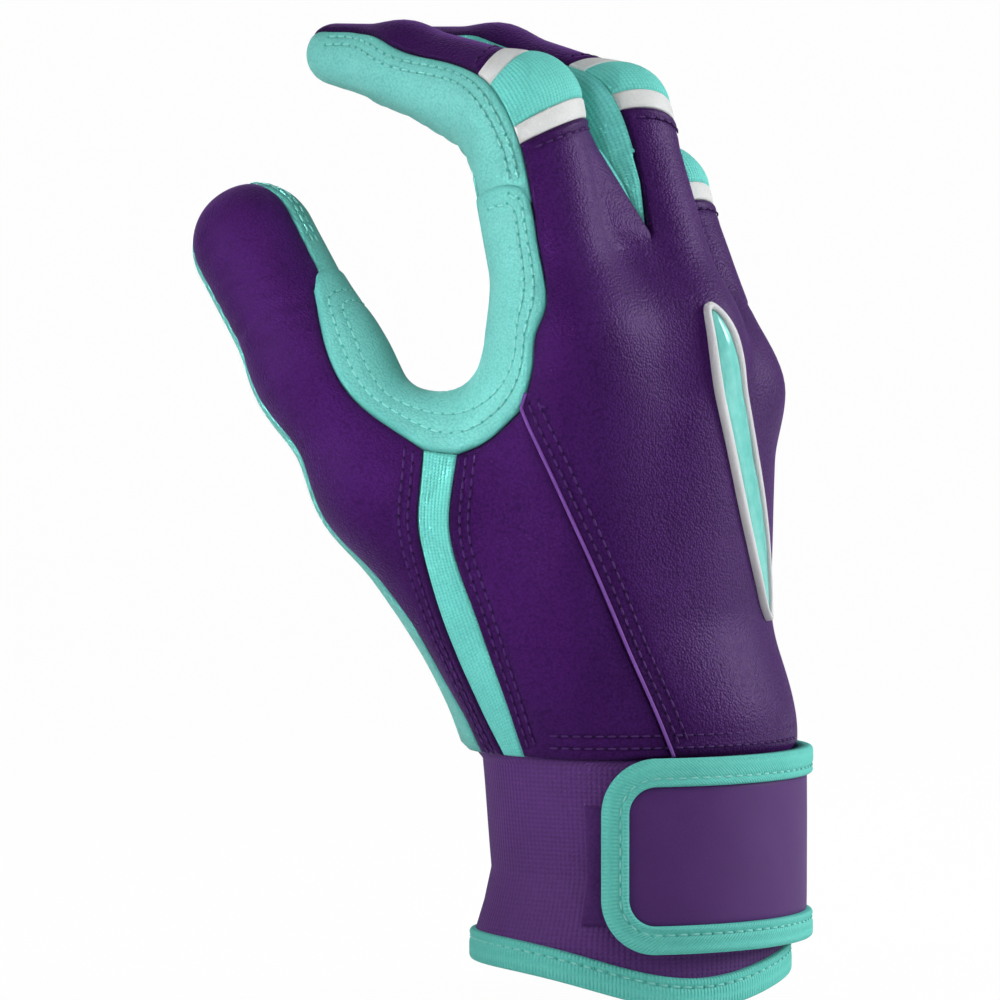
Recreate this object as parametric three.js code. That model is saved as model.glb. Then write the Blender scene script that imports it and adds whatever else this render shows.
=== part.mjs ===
import * as THREE from "three";

// Batting glove for the right hand, closed as if round a bat. Millimetres.
// X points out of the back of the hand, Y to the little finger, Z to the fingertips.
// The origin is the middle of the wrist opening.

// Cloth and leather
const LEATHER = 1.0;
const KNIT = 0.8;
const TRIM = 1.2;
const SEAM_GAP = 0.5;
const STEPS = 2;

// Hand filling the glove: each finger is a knuckle point, three bone lengths,
// the lean of each bone from upright towards the palm, its drift sideways, and
// the outside radius at knuckle, middle joint, end joint and tip.
const FINGERS = {
  index: digit([2, -28.3, 124], [45, 31.2, 17.6], [14.8, 70.5, 82], [0, 0, 0], [12.2, 11.6, 8, 6.1]),
  middle: digit([9, -4.5, 123], [46, 31, 20], [18.5, 71, 82], [0.025, 0, -0.01], [12.2, 11, 9.2, 7]),
  ring: digit([5.8, 15.6, 112], [42, 22, 13.5], [23, 77, 124], [0.03, 0, 0], [12, 10.8, 9.2, 7.2]),
  little: digit([-8, 28.5, 104], [31, 20, 16], [18, 78, 112], [0.26, 0.12, 0.05], [11.2, 9.6, 8.3, 6.8]),
};
const HEELS = {
  index: [[0, -20, 44], 14.5, 13.5],
  middle: [[4, -7, 42], 16, 13.5],
  ring: [[2.5, 6, 42], 16, 12],
  little: [[-4, 16, 44], 14, 10.8],
};
const THUMB = {
  knots: [vec(-9, -20, 56), vec(-30, -44, 95), vec(-43.7, -49, 117), vec(-60.3, -49.3, 141.8)],
  radii: [15.2, 13.8, 12.2, 12.4],
};
const WEB = [vec(-30, -44, 97), vec(-13, -35, 100.5), vec(3, -26.5, 116)];
const WEB_RADIUS = 9.5;
const PADS = [
  [vec(-9, -8, 46), vec(-3, 3, 108), 17, 10],
  [vec(-12.5, -12.5, 50), vec(-25, -33, 92), 15.5, 11.5],
  [vec(-12, 14, 48), vec(-9, 20, 98), 14, 11],
];
const WRIST_HALF_GAP = 5;
const WRIST_RADIUS = 26.8;
const WRIST_X = -1;

// Seam angles round a finger: 0 is its back, 90 faces the little finger.
const BACK_EDGE = { index: [-68, 47], middle: [-47, 47], ring: [-47, 47], little: [-47, 72] };
const FRONT_EDGE = { index: [-138, 134], middle: [-134, 136], ring: [-132, 150], little: [-98, 72] };
const SIDE_EDGE = { index: [-68, 105], middle: [-110, 110], ring: [-110, 110], little: [-110, 72] };
const CROTCH = { index: [0.38, 0.38], middle: [0.41, 0.175], ring: [0.43, 0.325], little: [0.5, 0.3] };

// Bend bands at the middle finger joints
const BEND_HALF = { index: 12, middle: 12, ring: 11, little: 10.5 };
const TRIM_WIDTH = 3.5;
const TRIM_BELOW = 3.5;
const TRIM_ABOVE = 5;

// Thumb
const THUMB_OUTER = -33;
const THUMB_INNER = 97;
const THUMB_BEND = [2.4, 2.85];

// Wrist: the cuff is a lofted ellipse, each row height, half width front to back,
// half width side to side and shift towards the thumb side.
const WRIST_Z = 41.4;
const CUFF_TUCK = 5;
const CUFF_WALL = 1.6;
const CUFF_ROWS = [
  [40.5, 28.8, 33.6, 1.8],
  [35, 28.3, 33, 1.9],
  [18, 27.2, 31.6, 1.7],
  [11.5, 28, 32.6, 2.2],
  [5.5, 29.3, 34, 2.7],
  [-10, 29.4, 34.2, 2.8],
];
const SHIFT_ANGLE = -142;
const HEM_WIDTH = 5;
const HEM_WALL = 1;
const HEM_MID = -0.6;
const HEM_TILT = 1.6;
const HEM_DIP = 6.2;
const HEM_DIP_SPREAD = 42;
const HEM_DIP_ANGLE = -27;

// Closing strap
const STRAP_FREE_ANGLE = -61.5;
const STRAP_SEWN_ANGLE = 100;
const STRAP_HEIGHT = 38.4;
const STRAP_MID_Z = 22.6;
const STRAP_STAND = 5;
const STRAP_SHIFT = 1.5;
const STRAP_WALL = 1.6;
const STRAP_CORNER = 11;
const BINDING = 5.6;
const PILE = 0.7;
const PILE_GAP = 0.3;

// Badge on the back of the hand
const BADGE_FROM = vec(21, 14.2, 67);
const BADGE_TO = vec(21, -9, 130);
const BADGE_HALF = 5;
const BADGE_RIM = 1.7;
const BADGE_WALL = 1.2;
const BADGE_LIFT = 0.9;

const PURPLE = "#40205a";
const PURPLE_KNIT = "#4c2866";
const MINT = "#70bab3";
const MINT_KNIT = "#58b2a8";
const GREY = "#cbcccc";

const group = new THREE.Group();
group.name = "batting_glove";

function vec(x, y, z) {
  return new THREE.Vector3(x, y, z);
}

function rad(degrees) {
  return (degrees * Math.PI) / 180;
}

function mix(a, b, t) {
  return a + (b - a) * t;
}

function spread(a, b, count) {
  return Array.from({ length: count + 1 }, (_, i) => mix(a, b, i / count));
}

function digit(root, lengths, lean, drift, radii) {
  const knots = [vec(...root)];
  lengths.forEach((length, i) => {
    const step = vec(-Math.sin(rad(lean[i])), drift[i], Math.cos(rad(lean[i])));
    knots.push(knots[i].clone().addScaledVector(step, length));
  });
  return { knots, radii, lengths };
}

// Signed distance to a cone with round ends.
function cone(p, a, b, r1, r2) {
  const bx = b.x - a.x;
  const by = b.y - a.y;
  const bz = b.z - a.z;
  const px = p.x - a.x;
  const py = p.y - a.y;
  const pz = p.z - a.z;
  const l2 = bx * bx + by * by + bz * bz;
  const rr = r1 - r2;
  const a2 = l2 - rr * rr;
  const y = px * bx + py * by + pz * bz;
  const z = y - l2;
  const qx = px * l2 - bx * y;
  const qy = py * l2 - by * y;
  const qz = pz * l2 - bz * y;
  const x2 = qx * qx + qy * qy + qz * qz;
  const y2 = y * y * l2;
  const z2 = z * z * l2;
  const k = Math.sign(rr) * rr * rr * x2;
  if (Math.sign(z) * a2 * z2 > k) return Math.sqrt(x2 + z2) / l2 - r2;
  if (Math.sign(y) * a2 * y2 < k) return Math.sqrt(x2 + y2) / l2 - r1;
  return (Math.sqrt((x2 * a2) / l2) + y * rr) / l2 - r1;
}

function blendMin(a, b, k) {
  const h = Math.max(k - Math.abs(a - b), 0) / k;
  return Math.min(a, b) - (h * h * k) / 4;
}

function chain(p, knots, radii, k) {
  let d = cone(p, knots[0], knots[1], radii[0], radii[1]);
  for (let i = 1; i < knots.length - 1; i++) {
    d = blendMin(d, cone(p, knots[i], knots[i + 1], radii[i], radii[i + 1]), k);
  }
  return d;
}

// Signed distance to the outside of the filled glove, wrist to fingertips,
// or to the hand with one finger alone.
function field(p, only) {
  let body = 1000;
  let fingers = 1000;
  for (const name of Object.keys(FINGERS)) {
    const { knots, radii } = FINGERS[name];
    const [heel, r1, r2] = HEELS[name];
    body = blendMin(body, cone(p, vec(...heel), knots[0], r1, r2), 16);
    if (!only || only === name) fingers = blendMin(fingers, chain(p, knots, radii, 4), 2);
  }
  for (const [low, high, r1, r2] of PADS) {
    body = blendMin(body, cone(p, low, high, r1, r2), 14);
  }
  const thumb = chain(p, THUMB.knots, THUMB.radii, 6);
  const web = chain(p, WEB, [WEB_RADIUS, WEB_RADIUS, WEB_RADIUS], 5);
  body = blendMin(body, blendMin(thumb, web, 9), 14);
  for (const side of [-WRIST_HALF_GAP, WRIST_HALF_GAP]) {
    const low = vec(WRIST_X, side, 20);
    const high = vec(WRIST_X, side, 42);
    body = blendMin(body, cone(p, low, high, WRIST_RADIUS, WRIST_RADIUS), 10);
  }
  return blendMin(body, fingers, 6);
}

function slope(p, only) {
  const e = 0.2;
  const at = (x, y, z) => field(vec(p.x + x, p.y + y, p.z + z), only);
  const g = vec(at(e, 0, 0) - at(-e, 0, 0), at(0, e, 0) - at(0, -e, 0), at(0, 0, e) - at(0, 0, -e));
  return g.normalize();
}

function settle(p, level = 0) {
  const q = p.clone();
  for (let i = 0; i < 6; i++) {
    q.addScaledVector(slope(q), level - field(q));
  }
  return q;
}

function castOut(from, direction, only) {
  const q = from.clone();
  for (let i = 0; i < 60; i++) {
    const d = field(q, only);
    if (Math.abs(d) < 0.005) break;
    q.addScaledVector(direction, -d * 0.9);
  }
  return q;
}

// Smooth curve through points, t counting the points; it may turn a corner at some.
function curveThrough(points, t, corners = []) {
  const last = points.length - 1;
  const i = Math.min(Math.max(Math.floor(t), 0), last - 1);
  const u = t - i;
  const p1 = points[i];
  const p2 = points[i + 1];
  const startsHere = i === 0 || corners.includes(i);
  const endsHere = i + 1 === last || corners.includes(i + 1);
  const p0 = startsHere ? p1.clone().multiplyScalar(2).sub(p2) : points[i - 1];
  const p3 = endsHere ? p2.clone().multiplyScalar(2).sub(p1) : points[i + 2];
  const w0 = -0.5 * u + u * u - 0.5 * u * u * u;
  const w1 = 1 - 2.5 * u * u + 1.5 * u * u * u;
  const w2 = 0.5 * u + 2 * u * u - 1.5 * u * u * u;
  const w3 = -0.5 * u * u + 0.5 * u * u * u;
  const q = p0.clone().multiplyScalar(w0);
  return q.addScaledVector(p1, w1).addScaledVector(p2, w2).addScaledVector(p3, w3);
}

// Point on a digit: station 0 to 3 counts the knots, 3 to 4 rounds the tip.
function digitPoint(knots, side, station, angle, only) {
  const s = Math.min(station, 3);
  const centre = curveThrough(knots, s);
  const ahead = curveThrough(knots, s + 0.02).sub(curveThrough(knots, s - 0.02)).normalize();
  const lateral = side.clone().addScaledVector(ahead, -ahead.dot(side)).normalize();
  const back = lateral.clone().cross(ahead);
  const tilt = rad(90 * Math.max(station - 3, 0));
  const ray = back.multiplyScalar(Math.cos(rad(angle)) * Math.cos(tilt));
  ray.addScaledVector(lateral, Math.sin(rad(angle)) * Math.cos(tilt));
  ray.addScaledVector(ahead, Math.sin(tilt));
  return castOut(centre, ray.normalize(), only);
}

function fingerPoint(name, station, angle) {
  return digitPoint(FINGERS[name].knots, vec(0, 1, 0), station, angle, name);
}

function thumbPoint(station, angle) {
  return digitPoint(THUMB.knots, vec(0.85, 0, 0.53), station, angle);
}

function handPoint(z, angle) {
  return castOut(vec(-1, 1, z), vec(Math.cos(rad(angle)), Math.sin(rad(angle)), 0));
}

// Sheet of points: rows of equal length, each row a list of points.
function sheet(rows, closed = false) {
  return { rows, closed };
}

function chartSheet(chart, stations, angles) {
  return sheet(stations.map((s) => angles.map((a) => chart(s, a))));
}

// Sheet laid through a net of guide points and settled on the glove,
// with a fixed number of steps between guides so that seams match.
function netSheet(net, across, corners = []) {
  const rows = spread(0, net.length - 1, STEPS * (net.length - 1)).map((t) => {
    const guide = net[0].map((_, j) => curveThrough(net.map((row) => row[j]), t, corners));
    return spread(0, guide.length - 1, across).map((w) => settle(curveThrough(guide, w)));
  });
  return sheet(rows);
}

// Points and outward triangles of one or more sheets joined where they meet.
function joinSheets(sheets) {
  const points = [];
  const triangles = [];
  const seen = new Map();
  const index = (p) => {
    const key = [p.x, p.y, p.z].map((c) => Math.round(c * 200)).join(" ");
    if (!seen.has(key)) {
      seen.set(key, points.length);
      points.push(p.clone());
    }
    return seen.get(key);
  };
  const add = (a, b, c) => {
    if (a !== b && b !== c && a !== c) triangles.push([a, b, c]);
  };
  for (const { rows, closed } of sheets) {
    const ids = rows.map((row) => row.map(index));
    const columns = ids[0].length;
    for (let i = 0; i + 1 < ids.length; i++) {
      for (let j = 0; j < (closed ? columns : columns - 1); j++) {
        const k = (j + 1) % columns;
        add(ids[i][j], ids[i][k], ids[i + 1][k]);
        add(ids[i][j], ids[i + 1][k], ids[i + 1][j]);
      }
    }
  }
  return { points, triangles };
}

function meshNormals(points, triangles) {
  const normals = points.map(() => vec(0, 0, 0));
  for (const [a, b, c] of triangles) {
    const n = points[b].clone().sub(points[a]).cross(points[c].clone().sub(points[a]));
    normals[a].add(n);
    normals[b].add(n);
    normals[c].add(n);
  }
  return normals.map((n) => n.normalize());
}

function rimEdges(triangles) {
  const edges = new Map();
  for (const t of triangles) {
    for (let i = 0; i < 3; i++) {
      edges.set(t[i] + "_" + t[(i + 1) % 3], [t[i], t[(i + 1) % 3]]);
    }
  }
  return [...edges.values()].filter(([a, b]) => !edges.has(b + "_" + a));
}

// Draws the free edges of a sheet in by half a seam gap.
function drawIn(points, triangles, normals, amount) {
  const pull = new Map();
  for (const [a, b] of rimEdges(triangles)) {
    const along = points[b].clone().sub(points[a]).normalize();
    for (const i of [a, b]) {
      const inward = normals[i].clone().cross(along).normalize();
      if (!pull.has(i)) pull.set(i, []);
      pull.get(i).push(inward);
    }
  }
  for (const [i, list] of pull) {
    const sum = list.reduce((s, d) => s.add(d), vec(0, 0, 0)).multiplyScalar(1 / list.length);
    const stretch = Math.max(sum.lengthSq(), 0.35);
    points[i].addScaledVector(sum, amount / stretch);
  }
}

// Closed solid between a sheet and its copy moved in by the wall thickness.
function shell(sheets, wall, options = {}) {
  const { points, triangles } = joinSheets(sheets);
  let normals = meshNormals(points, triangles);
  const away = (p) => (options.onGlove ? slope(p, options.only) : vec(p.x, p.y, 0).normalize());
  const inward = normals.reduce((s, n, i) => s + n.dot(away(points[i])), 0);
  if (inward < 0) {
    triangles.forEach((t) => t.reverse());
    normals = normals.map((n) => n.negate());
  }
  if (options.onGlove && !options.free) normals = points.map((p) => slope(p, options.only));
  drawIn(points, triangles, normals, options.gap ?? SEAM_GAP / 2);
  const count = points.length;
  const lift = options.lift ?? 0;
  const outer = points.map((p, i) => p.clone().addScaledVector(normals[i], lift));
  const inner = points.map((p, i) => p.clone().addScaledVector(normals[i], lift - wall));
  const faces = [];
  for (const [a, b, c] of triangles) {
    faces.push(a, b, c);
    faces.push(a + count, c + count, b + count);
  }
  for (const [a, b] of rimEdges(triangles)) {
    faces.push(b, a, a + count);
    faces.push(b, a + count, b + count);
  }
  const geometry = new THREE.BufferGeometry();
  const flat = [...outer, ...inner].flatMap((p) => [p.x, p.y, p.z]);
  geometry.setAttribute("position", new THREE.Float32BufferAttribute(flat, 3));
  geometry.setIndex(faces);
  geometry.computeVertexNormals();
  return geometry;
}

function place(name, geometry, color, roughness) {
  const material = new THREE.MeshStandardMaterial({ color, roughness, metalness: 0 });
  const mesh = new THREE.Mesh(geometry, material);
  mesh.name = name;
  group.add(mesh);
}

function gloveShell(name, sheets, wall, color, roughness = 0.6, options = {}) {
  place(name, shell(sheets, wall, { onGlove: true, ...options }), color, roughness);
}

const NAMES = Object.keys(FINGERS);

function bandStations(name) {
  const [first, second] = FINGERS[name].lengths;
  return {
    bendStart: 1 - BEND_HALF[name] / first,
    trimStart: 1 - (TRIM_BELOW + TRIM_WIDTH) / first,
    flexStart: 1 - TRIM_BELOW / first,
    flexEnd: 1 + TRIM_ABOVE / second,
    trimEnd: 1 + (TRIM_ABOVE + TRIM_WIDTH) / second,
    bendEnd: 1 + BEND_HALF[name] / second,
  };
}

// Crotch point shared by two neighbouring fingers, front or back.
function crotch(first, second, edges) {
  const a = fingerPoint(first, CROTCH[first][1], edges[first][1]);
  const b = fingerPoint(second, CROTCH[second][0], edges[second][0]);
  return settle(a.lerp(b, 0.5));
}

function fingerBaseRow(edges, columns) {
  const row = [];
  NAMES.forEach((name, n) => {
    const front = edges === FRONT_EDGE;
    const from = edges[name][0];
    const to = front ? edges[name][1] - 360 : edges[name][1];
    spread(0, 1, columns).forEach((t, j) => {
      if (j === 0 && n > 0) return;
      if (j === columns && n < 3) {
        row.push(crotch(name, NAMES[n + 1], edges));
        return;
      }
      row.push(fingerPoint(name, mix(CROTCH[name][0], CROTCH[name][1], t), mix(from, to, t)));
    });
  });
  return row;
}

// Finger tongue of the back or palm panel, from its base row to a station.
function tongue(name, edges, base, end, rows) {
  const n = NAMES.indexOf(name);
  const columns = (base.length - 1) / 4;
  const front = edges === FRONT_EDGE;
  const to = front ? edges[name][1] - 360 : edges[name][1];
  const first = base.slice(n * columns, (n + 1) * columns + 1);
  const list = [first];
  for (let i = 1; i <= rows; i++) {
    list.push(
      spread(0, 1, columns).map((t) => {
        const station = mix(mix(CROTCH[name][0], CROTCH[name][1], t), end, i / rows);
        return fingerPoint(name, station, mix(edges[name][0], to, t));
      }),
    );
  }
  return sheet(list);
}

// Seams of the hand as height and angle round the hand, wrist upward.
const BACK_SEAM = [[WRIST_Z, -43], [60, -57], [80, -70], [98, -80], [110, -86], [117.5, -83], [124, -82], [131, -80]];
const ULNAR_SEAM = [[WRIST_Z, 95], [55, 97], [66, 98], [75, 98], [84, 98], [92, 98], [98, 97], [103, 95]];
const STRIP_RIGHT = [[WRIST_Z, -92], [55, -97], [68, -100], [85, -103], [101, -101]];
const STRIP_LEFT = [[WRIST_Z, -100], [51, -106], [65, -108], [85, -107], [102, -106]];

function seamPoints(seam) {
  return seam.map(([z, angle]) => handPoint(z, angle));
}

const backSeam = seamPoints(BACK_SEAM);
const ulnarSeam = seamPoints(ULNAR_SEAM);
const stripRight = seamPoints(STRIP_RIGHT);
const stripLeft = seamPoints(STRIP_LEFT);

// Back panel: one cut of leather from the wrist to the four finger backs.
const backBase = fingerBaseRow(BACK_EDGE, 4);
const backRows = BACK_SEAM.map(([z, angle], k) =>
  backBase.map((_, j) => {
    const w = j / (backBase.length - 1);
    return handPoint(mix(z, ULNAR_SEAM[k][0], w), mix(angle, ULNAR_SEAM[k][1], w));
  }),
);
backRows.push(backBase);
const backSheets = [sheet(smoothRows(backRows, [4]))];
NAMES.forEach((name) => backSheets.push(tongue(name, BACK_EDGE, backBase, bandStations(name).trimStart, 4)));
gloveShell("back_panel", backSheets, LEATHER, PURPLE);

// Rows of guide points filled in between, ends kept as they are.
function smoothRows(rows, corners) {
  const last = rows.length - 1;
  return spread(0, last, STEPS * last).map((t) =>
    rows[0].map((_, j) => {
      const p = curveThrough(rows.map((row) => row[j]), t, corners);
      return t === 0 || t === last ? p : settle(p);
    }),
  );
}

// Crotch patch: three lines along the U between thumb and index finger.
const bendStart = bandStations("index").bendStart;
const patchBack = [
  thumbPoint(THUMB_BEND[0], 68), thumbPoint(2.05, 55), thumbPoint(1.7, 53), thumbPoint(1.4, 61),
  stripLeft[4], stripRight[4], settle(vec(-5.8, -42.9, 103.4)), ...backSeam.slice(4),
  fingerPoint("index", CROTCH.index[0], BACK_EDGE.index[0]), fingerPoint("index", bendStart, BACK_EDGE.index[0]),
];
const patchCrest = [
  thumbPoint(THUMB_BEND[0], 108), thumbPoint(2.05, 105), thumbPoint(1.7, 105), thumbPoint(1.4, 108),
  settle(vec(-22, -39, 113)), settle(vec(-17, -38, 114)), settle(vec(-11, -38, 115)), settle(vec(-8, -40, 117)),
  fingerPoint("index", 0, -112), fingerPoint("index", 0.1, -109), fingerPoint("index", 0.2, -107),
  fingerPoint("index", CROTCH.index[0], -105), fingerPoint("index", bendStart, -104),
];
const patchFront = [
  thumbPoint(THUMB_BEND[0], 150), thumbPoint(2.05, 150), thumbPoint(1.7, 150), thumbPoint(1.4, 152),
  thumbPoint(1.15, 155), settle(vec(-22, -29, 106)), settle(vec(-18, -29, 110)), settle(vec(-15.5, -32, 115)),
  settle(vec(-13.5, -35, 120)), settle(vec(-12, -37, 126)), fingerPoint("index", 0.24, -139),
  fingerPoint("index", CROTCH.index[0], FRONT_EDGE.index[0]), fingerPoint("index", bendStart, FRONT_EDGE.index[0]),
];
const patchNet = patchBack.map((p, i) => [p, patchCrest[i], patchFront[i]]);
gloveShell("crotch_patch", [netSheet(patchNet, 6, [4, 5, 7, 11])], LEATHER, MINT);

// Panel on the thumb side of the hand, between knit strip and back panel.
const sideNet = stripRight.map((p, k) => {
  const middle = k === 4 ? patchBack[6] : settle(p.clone().lerp(backSeam[k], 0.5));
  return [p, middle, backSeam[k]];
});
gloveShell("side_panel", [netSheet(sideNet, 4)], LEATHER, PURPLE);
gloveShell("thumb_strip", [netSheet(stripLeft.map((p, k) => [p, stripRight[k]]), 2)], KNIT, MINT_KNIT, 0.8);

// Thumb back, wrist to the bend band.
const thumbEdge = [
  handPoint(WRIST_Z, -111), thumbPoint(0.25, -42), thumbPoint(0.52, -37), thumbPoint(0.78, THUMB_OUTER),
  thumbPoint(1, THUMB_OUTER), thumbPoint(1.35, THUMB_OUTER), thumbPoint(1.7, THUMB_OUTER),
  thumbPoint(2.05, THUMB_OUTER), thumbPoint(THUMB_BEND[0], THUMB_OUTER),
];
const thumbInner = [...stripLeft, patchBack[3], patchBack[2], patchBack[1], patchBack[0]];
const thumbNet = thumbInner.map((p, k) => [p, settle(p.clone().lerp(thumbEdge[k], 0.5)), thumbEdge[k]]);
gloveShell("thumb_back", [netSheet(thumbNet, 4, [4])], LEATHER, PURPLE);

// Thumb front, from its root line to the bend band.
const thumbRoot = [thumbEdge[4], thumbPoint(1.15, -80), thumbPoint(1.2, -125), thumbPoint(1.2, -170), patchFront[4]];
const frontAngles = [-80, -125, -170];
const thumbFront = [1.4, 1.7, 2.05, THUMB_BEND[0]].map((s, i) => {
  const inside = frontAngles.map((a) => thumbPoint(s, a));
  return [thumbEdge[5 + i], ...inside, patchFront[3 - i]];
});
gloveShell("thumb_front", [netSheet([thumbRoot, ...thumbFront], 8)], LEATHER, MINT);

// Palm panel: one cut of leather from the wrist to the four finger fronts.
const palmBase = fingerBaseRow(FRONT_EDGE, 4);
const palmEdge = [
  ...thumbEdge.slice(0, 4), ...thumbRoot, ...patchFront.slice(5, 11),
];
const HOLLOW = 0.35;
const palmRows = palmEdge.map((p, k) => {
  const t = (k * (ulnarSeam.length - 1)) / (palmEdge.length - 1);
  const far = settle(curveThrough(ulnarSeam, t));
  const from = turnAbout(p);
  const to = turnAbout(far);
  return palmBase.map((_, j) => {
    const w = j / (palmBase.length - 1);
    if (w === 0 || w === 1) return w === 0 ? p : far;
    if (k < 2 || w > HOLLOW) return handPoint(mix(p.z, far.z, w), mix(from, to, w));
    const hollow = handPoint(mix(p.z, far.z, HOLLOW), mix(from, to, HOLLOW));
    return settle(p.clone().lerp(hollow, w / HOLLOW));
  });
});
palmRows.push(palmBase);
const palmSheets = [sheet(smoothRows(palmRows, [4, 8]))];
NAMES.forEach((name) => palmSheets.push(tongue(name, FRONT_EDGE, palmBase, bandStations(name).bendStart, 3)));
gloveShell("palm_panel", palmSheets, LEATHER, MINT);

// Angle of a point round the hand, counted from the back through the little finger side.
function turnAbout(p) {
  const angle = (Math.atan2(p.y - 1, p.x + 1) * 180) / Math.PI;
  return angle < 0 ? angle + 360 : angle;
}

// Finger pieces from the trims at the middle joint to the tip.
for (const name of NAMES) {
  const band = bandStations(name);
  const [from, to] = BACK_EDGE[name];
  const [sideFrom, sideTo] = SIDE_EDGE[name];
  const chart = (s, a) => fingerPoint(name, s, a);
  const backAngles = spread(from, to, 4);
  const alone = { only: name };
  const lower = chartSheet(chart, spread(band.trimStart, band.flexStart, 1), backAngles);
  const flex = chartSheet(chart, spread(band.flexStart, band.flexEnd, 4), backAngles);
  const upper = chartSheet(chart, spread(band.flexEnd, band.trimEnd, 1), backAngles);
  gloveShell(name + "_trim_lower", [lower], TRIM, GREY, 0.5, alone);
  gloveShell(name + "_flex_panel", [flex], KNIT, MINT_KNIT, 0.8, alone);
  gloveShell(name + "_trim_upper", [upper], TRIM, GREY, 0.5, alone);
  const bend = chartSheet(chart, spread(band.bendStart, band.bendEnd, 4), spread(to, from + 360, 8));
  gloveShell(name + "_bend_front", [bend], LEATHER, MINT, 0.6, alone);
  const tipRows = [...spread(band.trimEnd, 3, 4), 3.35, 3.7, 3.9];
  gloveShell(name + "_tip_back", [chartSheet(chart, tipRows, backAngles)], LEATHER, PURPLE, 0.6, alone);
  const frontRows = spread(band.bendEnd, 3, 4);
  const frontAngles = spread(sideTo, sideFrom + 360, 5);
  const capAngles = [...frontAngles];
  if (sideTo > to) {
    capAngles.unshift(to);
    const strip = chartSheet(chart, frontRows, spread(to, sideTo, 2));
    gloveShell(name + "_gusset_ulnar", [strip], KNIT, MINT_KNIT, 0.8, alone);
  }
  if (sideFrom < from) {
    capAngles.push(from + 360);
    const strip = chartSheet(chart, frontRows, spread(sideFrom, from, 2));
    gloveShell(name + "_gusset_radial", [strip], KNIT, MINT_KNIT, 0.8, alone);
  }
  const front = chartSheet(chart, frontRows, frontAngles);
  const cap = chartSheet(chart, [3, 3.3, 3.6, 3.85, 4], capAngles);
  gloveShell(name + "_tip_front", [front, cap], LEATHER, MINT, 0.6, alone);
}

// Knit gussets in the grooves between neighbouring fingers.
const GUSSET_SPAN = [0.3, 0.62];
const GUSSET_SAG = 0.5;
NAMES.slice(0, 3).forEach((first, n) => {
  const second = NAMES[n + 1];
  const rows = spread(...GUSSET_SPAN, 2).map((q) => {
    const s1 = mix(CROTCH[first][1], bandStations(first).bendStart, q);
    const s2 = mix(CROTCH[second][0], bandStations(second).bendStart, q);
    const a = fingerPoint(first, s1, BACK_EDGE[first][1]);
    const b = fingerPoint(second, s2, BACK_EDGE[second][0]);
    const middle = a.clone().lerp(b, 0.5);
    const sag = settle(middle).sub(middle).multiplyScalar(GUSSET_SAG);
    return spread(0, 1, 4).map((t) => a.clone().lerp(b, t).addScaledVector(sag, 4 * t * (1 - t)));
  });
  gloveShell("gusset_" + first + "_" + second, [sheet(rows)], KNIT, MINT_KNIT, 0.8, { gap: SEAM_GAP, free: true });
});

// Thumb bend band and tip.
const thumbBand = spread(THUMB_BEND[0], THUMB_BEND[1], 2);
const thumbBackAngles = spread(THUMB_OUTER, THUMB_INNER, 5);
const thumbFrontAngles = spread(THUMB_INNER, THUMB_OUTER + 360, 7);
const thumbTip = [THUMB_BEND[1], 3, 3.3, 3.6, 3.85];
gloveShell("thumb_bend_back", [chartSheet(thumbPoint, thumbBand, thumbBackAngles)], LEATHER, PURPLE);
gloveShell("thumb_bend_front", [chartSheet(thumbPoint, thumbBand, thumbFrontAngles)], LEATHER, MINT);
gloveShell("thumb_tip_back", [chartSheet(thumbPoint, thumbTip, thumbBackAngles)], LEATHER, PURPLE);
gloveShell("thumb_tip_front", [chartSheet(thumbPoint, [...thumbTip, 4], thumbFrontAngles)], LEATHER, MINT);

// Badge: an oval plate with a rim, lying along the back of the hand.
function badgePoint(turn, scale, grow) {
  const length = BADGE_FROM.distanceTo(BADGE_TO) / 2;
  const along = BADGE_TO.clone().sub(BADGE_FROM).normalize();
  const across = vec(1, 0, 0).cross(along).normalize();
  const p = BADGE_FROM.clone().lerp(BADGE_TO, 0.5);
  p.addScaledVector(along, Math.cos(turn) * (length + grow) * scale);
  p.addScaledVector(across, Math.sin(turn) * (BADGE_HALF + grow) * scale);
  return settle(p);
}
const TURNS = spread(0, 2 * Math.PI, 36).slice(0, 36);
const rim = [-BADGE_RIM, 0].map((grow) => TURNS.map((t) => badgePoint(t, 1, grow)));
const plate = [0, 0.25, 0.5, 0.75, 1].map((scale) => TURNS.map((t) => badgePoint(t, scale, -BADGE_RIM)));
const badge = { lift: BADGE_LIFT + BADGE_WALL };
gloveShell("badge_rim", [sheet(rim, true)], BADGE_WALL, GREY, 0.4, badge);
gloveShell("badge_plate", [sheet(plate, true)], BADGE_WALL, MINT, 0.3, badge);

// Cuff, its hem and the closing strap.
function ellipsePoint(z, angle, halves, shift, grow) {
  const x = Math.cos(rad(angle)) * (halves[0] + grow) + Math.cos(rad(SHIFT_ANGLE)) * shift;
  const y = Math.sin(rad(angle)) * (halves[1] + grow) + Math.sin(rad(SHIFT_ANGLE)) * shift;
  return vec(x, y, z);
}

// Half widths and shift of the cuff at a height.
function cuffRow(z) {
  const rows = CUFF_ROWS;
  let i = 0;
  while (i < rows.length - 2 && z < rows[i + 1][0]) i++;
  const t = Math.min(Math.max((rows[i][0] - z) / (rows[i][0] - rows[i + 1][0]), 0), 1);
  return [1, 2, 3].map((k) => mix(rows[i][k], rows[i + 1][k], t));
}

function cuffPoint(z, angle, grow = 0) {
  const [deep, wide, shift] = cuffRow(z);
  return ellipsePoint(z, angle, [deep, wide], shift, grow);
}

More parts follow.
